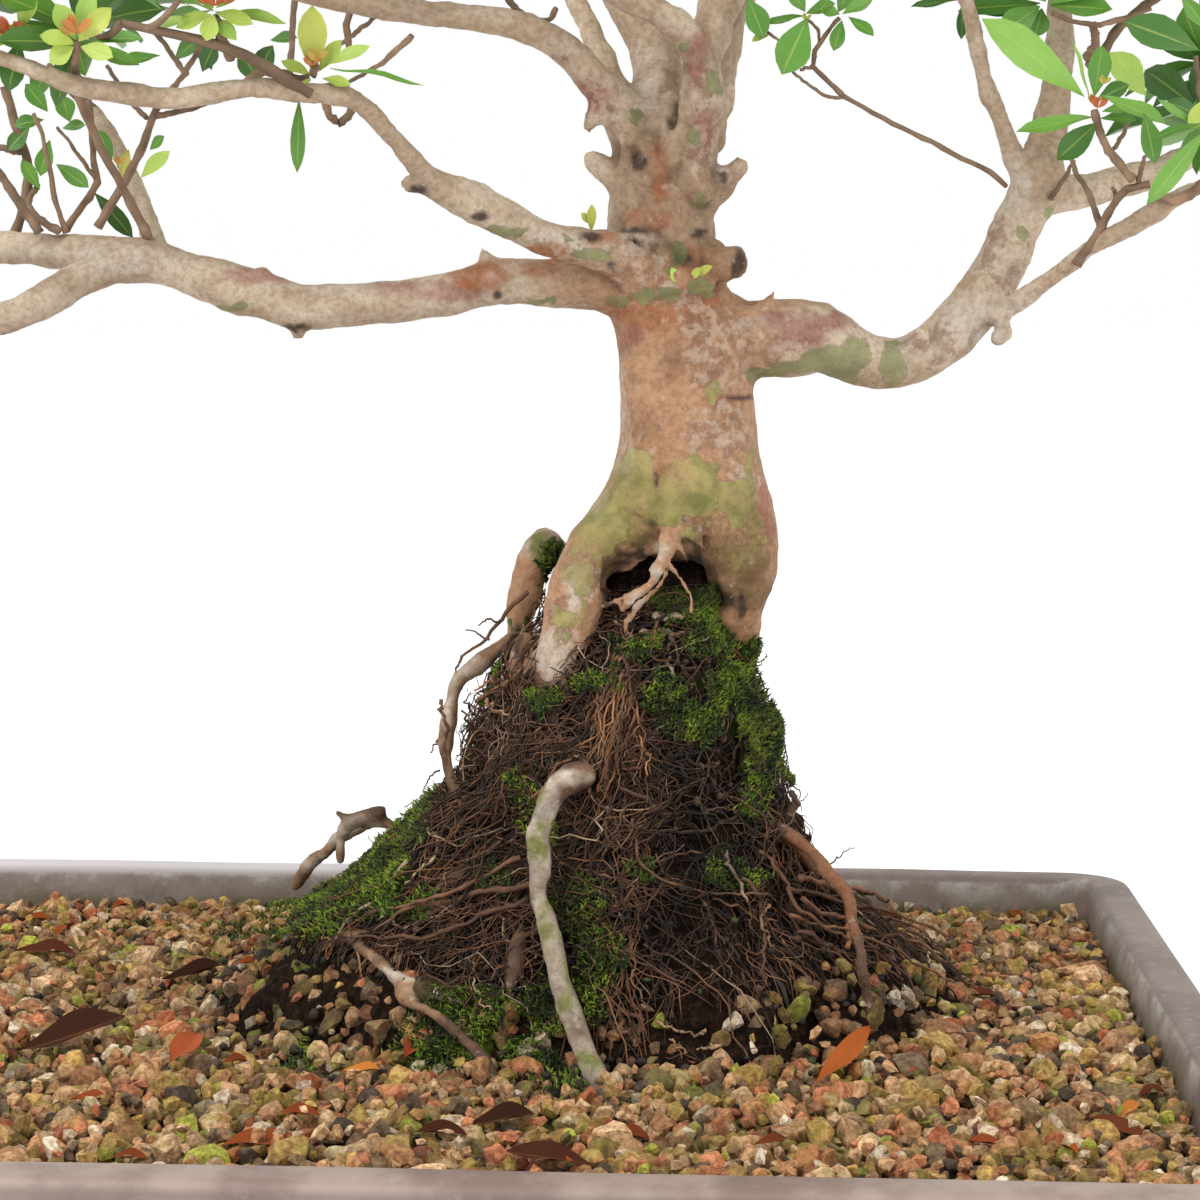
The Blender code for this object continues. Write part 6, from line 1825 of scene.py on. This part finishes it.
# Dry leaves that are too small for solids: (across, down in the picture, heading in degrees, length,
# tone, curl)
LITTER = (
    (190, 978, 15, 15, 0.04, -0.5), (278, 942, 100, 8, 0.5, 0.3), (300, 1112, 15, 10, 0.42, 0.3),
    (412, 1052, 78, 12, 0.97, -0.5), (500, 1122, 20, 15, 0.05, -0.2), (628, 1134, 5, 11, 0.36, 0.3),
    (980, 994, 160, 9, 0.3, 0.2), (1128, 1112, 60, 8, 0.78, -0.3), (1070, 1148, 110, 8, 0.6, 0.2),
    (1152, 1092, 40, 10, 0.3, 0.2), (130, 1156, 10, 8, 0.4, 0.2), (360, 1072, 0, 9, 0.8, -0.2),
    (36, 918, 10, 9, 0.5, 0.2), (60, 932, 90, 8, 0.6, -0.2), (886, 917, 0, 11, 0.36, 0.1),
    (236, 1060, 40, 8, 0.4, 0.2), (90, 1098, 20, 9, 0.5, 0.2), (770, 1142, 30, 8, 0.35, 0.1),
    (985, 1142, 150, 9, 0.45, 0.2), (250, 962, 40, 8, 0.6, 0.2), (20, 1010, 100, 7, 0.4, 0.2),
    (940, 1060, 75, 6, 0.7, 0.2), (560, 1160, 160, 7, 0.5, 0.2), (440, 1132, 0, 12, 0.1, 0.1),
    (120, 905, 60, 8, 0.55, 0.2), (330, 955, 80, 7, 0.45, 0.3),
)


def leaf_sheet(rows, columns):
    """A flat grid: place along (0 to 1), place across (-1 to 1), and faces."""
    along, across = np.meshgrid(np.linspace(0, 1, rows), np.linspace(-1, 1, columns), indexing="ij")
    return along.ravel(), across.ravel(), np.stack(grid_corners(rows, columns), -1)


def leaves(rows, shape):
    """Leaves from rows of (base, way, up, length, width, fold, droop, tone), as points, faces and values."""
    base, way, up, *shape_values = (np.array(column, float) for column in zip(*rows))
    length, width, fold, droop, tone = (values[:, None] for values in shape_values)
    way = unit(way)
    side = unit(np.cross(up, way))
    up = np.cross(way, side)
    along, across, faces = leaf_sheet(*shape)
    outline = np.sin(math.pi * np.clip(along, 0.0, 1) ** 1.35) ** 0.8 * 0.97 + 0.03 * (1 - along)
    stalk = np.clip(along / 0.1, 0.35, 1)
    half = outline * stalk * width / 2
    reach = length * (along - 0.10 * droop * along ** 2)
    wave = 0.05 * np.sin(along * 9 + tone * 40) * np.abs(across)
    rise = np.abs(across) * half * fold - length * 0.5 * droop * along ** 1.8 + wave * length * 0.4
    spread = across * half * (1 - 0.25 * np.abs(fold))
    verts = base[:, None] + way[:, None] * reach[..., None]
    verts = verts + side[:, None] * spread[..., None] + up[:, None] * rise[..., None]
    count = len(rows)
    values = np.stack([
        np.tile((across + 1) / 2, (count, 1)), np.tile(along, (count, 1)), np.tile(tone, (1, len(along))),
    ], -1)
    return verts.reshape(-1, 3), copies_of(faces, count, len(along)), values.reshape(-1, 3)


def add_leaves(name, rows, origin, material, slot, shape=(8, 5)):
    """A piece of leaves counted from the origin."""
    verts, faces, values = leaves(rows, shape)
    return add_piece(name, verts + origin, faces, material, slot, leaf=values)


def whorl_sites(centre, spread, count, rng):
    """Places spread evenly over the upper shell of a pad."""
    sites = []
    turn = math.pi * (3 - math.sqrt(5))
    for i in range(count):
        height = 1 - (i + 0.5) / count * 1.3
        level = math.sqrt(1 - height * height)
        angle = i * turn + rng.uniform(-0.25, 0.25)
        sites.append(centre + np.array([level * math.cos(angle), level * math.sin(angle), height]) * spread)
    return sites


def whorl(place, way, rng, tone, young):
    """Leaves round the tip of a shoot, a few lower on it, and young ones in the share of shoots given."""
    rows = []
    side = unit(np.cross(way, (0.31, 0.2, 0.93)))
    other = np.cross(way, side)
    count = rng.choice((5, 6, 6, 7))
    start = rng.uniform(0, math.tau)
    for i in range(count + 3):
        lower = i >= count
        angle = start + (i * math.tau / count if not lower else i * 2.4) + rng.uniform(-0.25, 0.25)
        tilt = math.radians(rng.uniform(8, 42) if not lower else rng.uniform(-8, 25))
        out = side * math.cos(angle) + other * math.sin(angle)
        heading = out * math.cos(tilt) + way * math.sin(tilt)
        length = rng.uniform(17, 25) * (0.85 if lower else 1)
        back = rng.uniform(2, 8) if lower else 0
        rows.append((
            place - way * back, heading, way * math.cos(tilt) - out * math.sin(tilt), length,
            length * rng.uniform(0.36, 0.46), rng.uniform(0.1, 0.5), rng.uniform(0.05, 0.4),
            min(0.86, max(0.0, tone + rng.uniform(-0.2, 0.2))),
        ))
    if young > rng.random():
        for i in range(3):
            angle = start + i * math.tau / 3
            out = side * math.cos(angle) + other * math.sin(angle)
            rows.append((
                place, out * 0.35 + way, out - way * 0.3, rng.uniform(5, 9), 2.6, 0.4, 0.0,
                rng.uniform(0.85, 1.0),
            ))
    return rows


def hero_leaf(row):
    """A listed leaf, in the form that leaves() takes."""
    across, down, tip_across, tip_down, depth, width, face, tone = row
    base, tip = at(across, down, depth), at(tip_across, tip_down, depth - 2)
    length = float(np.linalg.norm(tip - base))
    return base, tip - base, (0.12, -face, 1 - face), length * 1.03, width, 0.25, 0.16, tone


def leafy_branch(name, stems):
    """Leaves of one pad. Its stems go into the list, as points and radii."""
    heroes = HERO_LEAVES.get(name, ())
    rows = [hero_leaf(row) for row in heroes]
    if not PADS[name]:
        return rows
    rng = random.Random(name)
    rib, spread, count = PADS[name]
    rib, spread = np.array(rib, float), np.array(spread, float)
    centre = rib[-1]
    sites = whorl_sites(centre, spread, count, rng)
    if count > 4:
        sites += whorl_sites(centre - (0, 0, spread[2] * 0.3), spread * 0.62, count // 2, rng)
    along = np.concatenate([np.linspace(a, b, 6) for a, b in zip(rib, rib[1:])])[1:]
    t = np.linspace(0, 1, STEM_STEPS)[:, None]
    for place in sites:
        if heroes and seen_at(place)[1] > HERO_DOWN:
            continue
        way = unit(unit(place - centre) + (0, 0, 0.9))
        root = along[np.argmin(np.linalg.norm(along - (place - way * 18), axis=1))]
        bend = root + (place - way * 9 - root) * 0.65 + (0, 0, -1.5)
        rows += whorl(place, way, rng, PAD_TONES.get(name, PAD_TONE) + rng.uniform(-0.15, 0.15), 0.35)
        line = (1 - t) ** 2 * root + 2 * t * (1 - t) * bend + t ** 2 * place
        stems.append((line, np.linspace(1.0, 0.6, STEM_STEPS)))
    rail = np.array(densified(np.column_stack([rib, np.full(len(rib), 1.0)]), 6))[:, :3]
    share = np.linspace(0, len(rail) - 1, STEM_STEPS)
    line = np.stack([np.interp(share, np.arange(len(rail)), rail[:, i]) for i in range(3)], -1)
    stems.append((line, np.linspace(1.7, 0.9, STEM_STEPS)))
    return rows


def make_foliage():
    """Leaves of each pad, the shoots and buds, and all the twigs that carry them."""
    material = leaf_material("leaves")
    stems = []
    for name in PADS:
        piece = add_leaves("leaves_" + name, leafy_branch(name, stems), TREE, material, "leaf")
        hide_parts("foliage_" + name)
    shoots = [hero_leaf(row) for row in SHOOTS]
    for across, down, depth, length, tone in BUDS:
        middle = at(across, down, depth)
        for turn in range(3):
            way = np.array([math.cos(turn * 2.1), -0.4, 0.9 + 0.5 * math.sin(turn * 2.1)])
            shoots.append((middle, way, (0, -1, 0.3), length * 0.8, length * 0.42, 0.5, 0.0, tone))
    add_leaves("shoots", shoots, TREE, material, "leaf")
    rng = np.random.default_rng(2)
    chains = [densified([(*at(*place), 1.0) for place in places], 3)[:, :3] for places, _, _ in HERO_TWIGS]
    lines = [wavy(chain, TWIG_STEPS, 0.12, rng) for chain in chains]
    thick = [
        np.linspace(min(first, 1.3), min(last, 1.2), TWIG_STEPS) * rng.uniform(0.85, 1.15, TWIG_STEPS)
        for _, first, last in HERO_TWIGS
    ]
    verts, faces = joined([
        tubes(np.array([line for line, _ in stems]), np.array([radii for _, radii in stems]), 5),
        tubes(np.array(lines), np.array(thick), 7),
    ])
    tint = np.array(rgb(142, 114, 90)) * (1 + 0.4 * fractal(verts, 3, 3, 2))[:, None].clip(0.4, 1.6)
    tint = tint * (1 + 0.25 * value_noise(verts, 30, 12))[:, None]
    add_piece("twigs", verts + TREE, faces, tinted_material("twigs", 0.8, 0.2), "wood", tint=tint)


DRY_GRID = (14, 9)


def headed(degrees):
    """A level direction, turned so far from +X."""
    return np.array([math.cos(math.radians(degrees)), math.sin(math.radians(degrees)), 0.0])


def make_fallen_leaves():
    """Dry leaves on the gravel, curled, in the places of the solids, and a few more."""
    material = leaf_material("dry_leaves")
    for number, (x, y, heading, length, width, tone, curl) in enumerate(FALLEN_LEAVES, 1):
        base = np.array([x, y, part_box("fallen_leaf_%d" % number)[0].z / MM + 1.2])
        row = (base, headed(heading), (0.12, -0.2, 1), length * 1.02, width, 0.45, curl, tone)
        piece = add_leaves("dry_leaf_%d" % number, [row], TRAY, material, "dry_leaf", DRY_GRID)
        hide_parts("fallen_leaf_%d" % number)
    rows = []
    for across, down, heading, length, tone, curl in LITTER:
        way = headed(heading)
        base = on_ground_seen(across, down, 2.6) - way * length / 2
        rows.append((base, way, (0.1, -0.35, 1), length, length * 0.46, 0.7, curl, tone))
    add_leaves("litter", rows, TREE, material, "dry_leaf", DRY_GRID)


# Tray

def rounded_ring(half_x, half_y, corner, z, steps=9, side_steps=14):
    """Points round a rectangle with rounded corners."""
    corners = ((1, -1), (1, 1), (-1, 1), (-1, -1))
    middles = [np.array([sx * (half_x - corner), sy * (half_y - corner)]) for sx, sy in corners]

    def turned(middle, degrees):
        angle = math.radians(degrees)
        return middle + corner * np.array([math.cos(angle), math.sin(angle)])

    points = []
    for number, middle in enumerate(middles):
        points += [turned(middle, number * 90 - 90 + 90 * i / (steps - 1)) for i in range(steps)]
        start, end = points[-1], turned(middles[(number + 1) % 4], number * 90)
        points += [start + (end - start) * i / side_steps for i in range(1, side_steps)]
    return np.column_stack([np.array(points), np.full(len(points), float(z))])


def lofted(rings):
    """Points and triangles of a closed solid through rings of equal counts, its ends closed by fans."""
    verts = np.concatenate([*rings, [rings[0].mean(0)], [rings[-1].mean(0)]])
    return verts, tube_faces(len(rings), len(rings[0]))


# The tray's section from the outer foot over the lip to the floor: (inset, corner radius, height)
OUTER_WALL = (
    (18, 16, 9), (17.2, 16, 9.8), (6.2, 16, 56.2), (5.6, 16, 57), (1.6, 16, 57.2), (0.5, 16, 58.2),
    (0, 16, 60), (0, 16, 66.6), (0.35, 16, 68.4), (1.3, 16, 69.5), (2.9, 16, 70), (9.6, 13, 70),
    (10.9, 12, 69.6), (11.7, 11, 68.8),
)
INNER_WALL = tuple(
    (LIP_WIDTH + WALL_LEAN * (RIM_Z - z) / (RIM_Z - FLOOR_Z), 9, z) for z in (67.5, 60, 50, 40, 30, 20)
)
TRAY_FLOOR = ((24.6, 9, 17.6), (26, 9, 17))

# A foot's section from the table up: (half width, half depth, corner radius, height)
FOOT_RINGS = ((30.0, 20.0, 5, 0), (31, 21, 6, 1), (32.6, 22.6, 7, 8), (33.4, 23.4, 7, 11))
FEET_AT = (145, 103)

# Drain holes, in metres: radius, length of the cut, and its middle from the tray's middle
DRAIN_RADIUS = 0.011
DRAIN_CUT = 0.03
DRAIN_X, DRAIN_Z = 0.095, 0.013


def make_tray():
    """Stoneware with its lip, four feet and two drain holes."""
    sections = OUTER_WALL + INNER_WALL + TRAY_FLOOR
    rings = [
        rounded_ring(TRAY_WIDTH / 2 - inset, TRAY_DEPTH / 2 - inset, corner, z)
        for inset, corner, z in sections
    ]
    for ring in rings[:-2]:
        ring[:, 2] += value_noise(ring * (1, 1, 0), 60, 6) * 0.35
    verts, faces = lofted(rings)
    tray = add_piece("stoneware", verts + TRAY, faces, tray_material(), "tray")
    for side in (-1, 1):
        drill = bmesh.new()
        bmesh.ops.create_cone(
            drill, cap_ends=True, segments=40, radius1=DRAIN_RADIUS, radius2=DRAIN_RADIUS, depth=DRAIN_CUT,
        )
        place = Vector(TRAY * MM) + Vector((side * DRAIN_X, 0, DRAIN_Z))
        bmesh.ops.translate(drill, verts=drill.verts, vec=place)
        mesh = bpy.data.meshes.new("drill")
        drill.to_mesh(mesh)
        drill.free()
        cutter = linked("drill", mesh)
        cut = tray.modifiers.new("Drain", "BOOLEAN")
        cut.object = cutter
        apply_modifiers(tray)
        bpy.data.objects.remove(cutter)
    feet = []
    for side in (-1, 1):
        for end in (-1, 1):
            middle = (side * FEET_AT[0], end * FEET_AT[1], 0)
            feet.append(lofted([rounded_ring(*row, 5, 4) + middle for row in FOOT_RINGS]))
    verts, faces = joined(feet)
    add_piece("tray_feet", verts + TRAY, faces, tray.data.materials[0], "tray")
    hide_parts("tray")


def apply_modifiers(obj):
    """Turns what the modifiers make into the object's own mesh."""
    graph = bpy.context.evaluated_depsgraph_get()
    mesh = bpy.data.meshes.new_from_object(obj.evaluated_get(graph))
    obj.modifiers.clear()
    obj.data = mesh


def dress_screens():
    """The plastic mesh over the drain holes keeps its solids."""
    paint = Paint("mesh_plastic", 0.5)
    black = (0.04, 0.04, 0.042)
    paint.colour = paint.mix(paint.noise(6), tuple(c * 0.8 for c in black), black)
    material = paint.finish()
    for name in ("drain_screen_left", "drain_screen_right"):
        mesh = bpy.data.objects[name].data
        mesh.materials.clear()
        mesh.materials.append(material)


# Photo studio

# Lamps: (place in metres, size, power)
LAMPS = (((-0.75, -0.75, 1.35), 0.7, 15.0), ((0.9, -0.2, 0.7), 0.7, 2.0))


def make_studio():
    """A white floor and room, two soft lamps, and the camera."""
    paint = Paint("floor", 0.9)
    paint.set("Base Color", (0.97, 0.97, 0.97, 1))
    paint.set("Emission Color", (1, 1, 1, 1))
    paint.set("Emission Strength", 0.1)
    mesh = bpy.data.meshes.new("floor")
    mesh.from_pydata([(-12, -6, 0), (12, -6, 0), (12, 18, 0), (-12, 18, 0)], [], [(0, 1, 2, 3)])
    mesh.materials.append(paint.material)
    floor = linked("floor", mesh)

    world = bpy.data.worlds.new("studio")
    bpy.context.scene.world = world
    world.use_nodes = True
    background = world.node_tree.nodes["Background"]
    background.inputs[0].default_value = (1, 1, 1, 1)
    background.inputs[1].default_value = 1.0

    aim = Vector(TREE * MM) + Vector((0, 0, 0.2))
    for number, (place, size, power) in enumerate(LAMPS):
        data = bpy.data.lights.new("lamp_%d" % number, "AREA")
        data.size = size
        data.energy = power
        lamp = linked("lamp_%d" % number, data)
        lamp.location = place
        lamp.rotation_euler = (aim - Vector(place)).to_track_quat("-Z", "Y").to_euler()

    data = bpy.data.cameras.new("camera")
    data.sensor_width = 36
    data.lens = FOCAL / (2 * MIDDLE) * data.sensor_width
    data.clip_start = 0.01
    camera = linked("camera", data)
    camera.location = Vector((TREE + CAMERA_AT) * MM)
    camera.rotation_euler = (math.pi / 2 - CAMERA_PITCH, 0, CAMERA_YAW)
    bpy.context.scene.camera = camera
    bpy.context.scene.view_settings.view_transform = "Standard"


STRAND_MATERIAL = tinted_material("roots", 0.8)

make_tray()
dress_screens()
make_gravel()
make_mound()
make_fine_roots()
make_moss(make_tree())
make_foliage()
make_fallen_leaves()
make_studio()
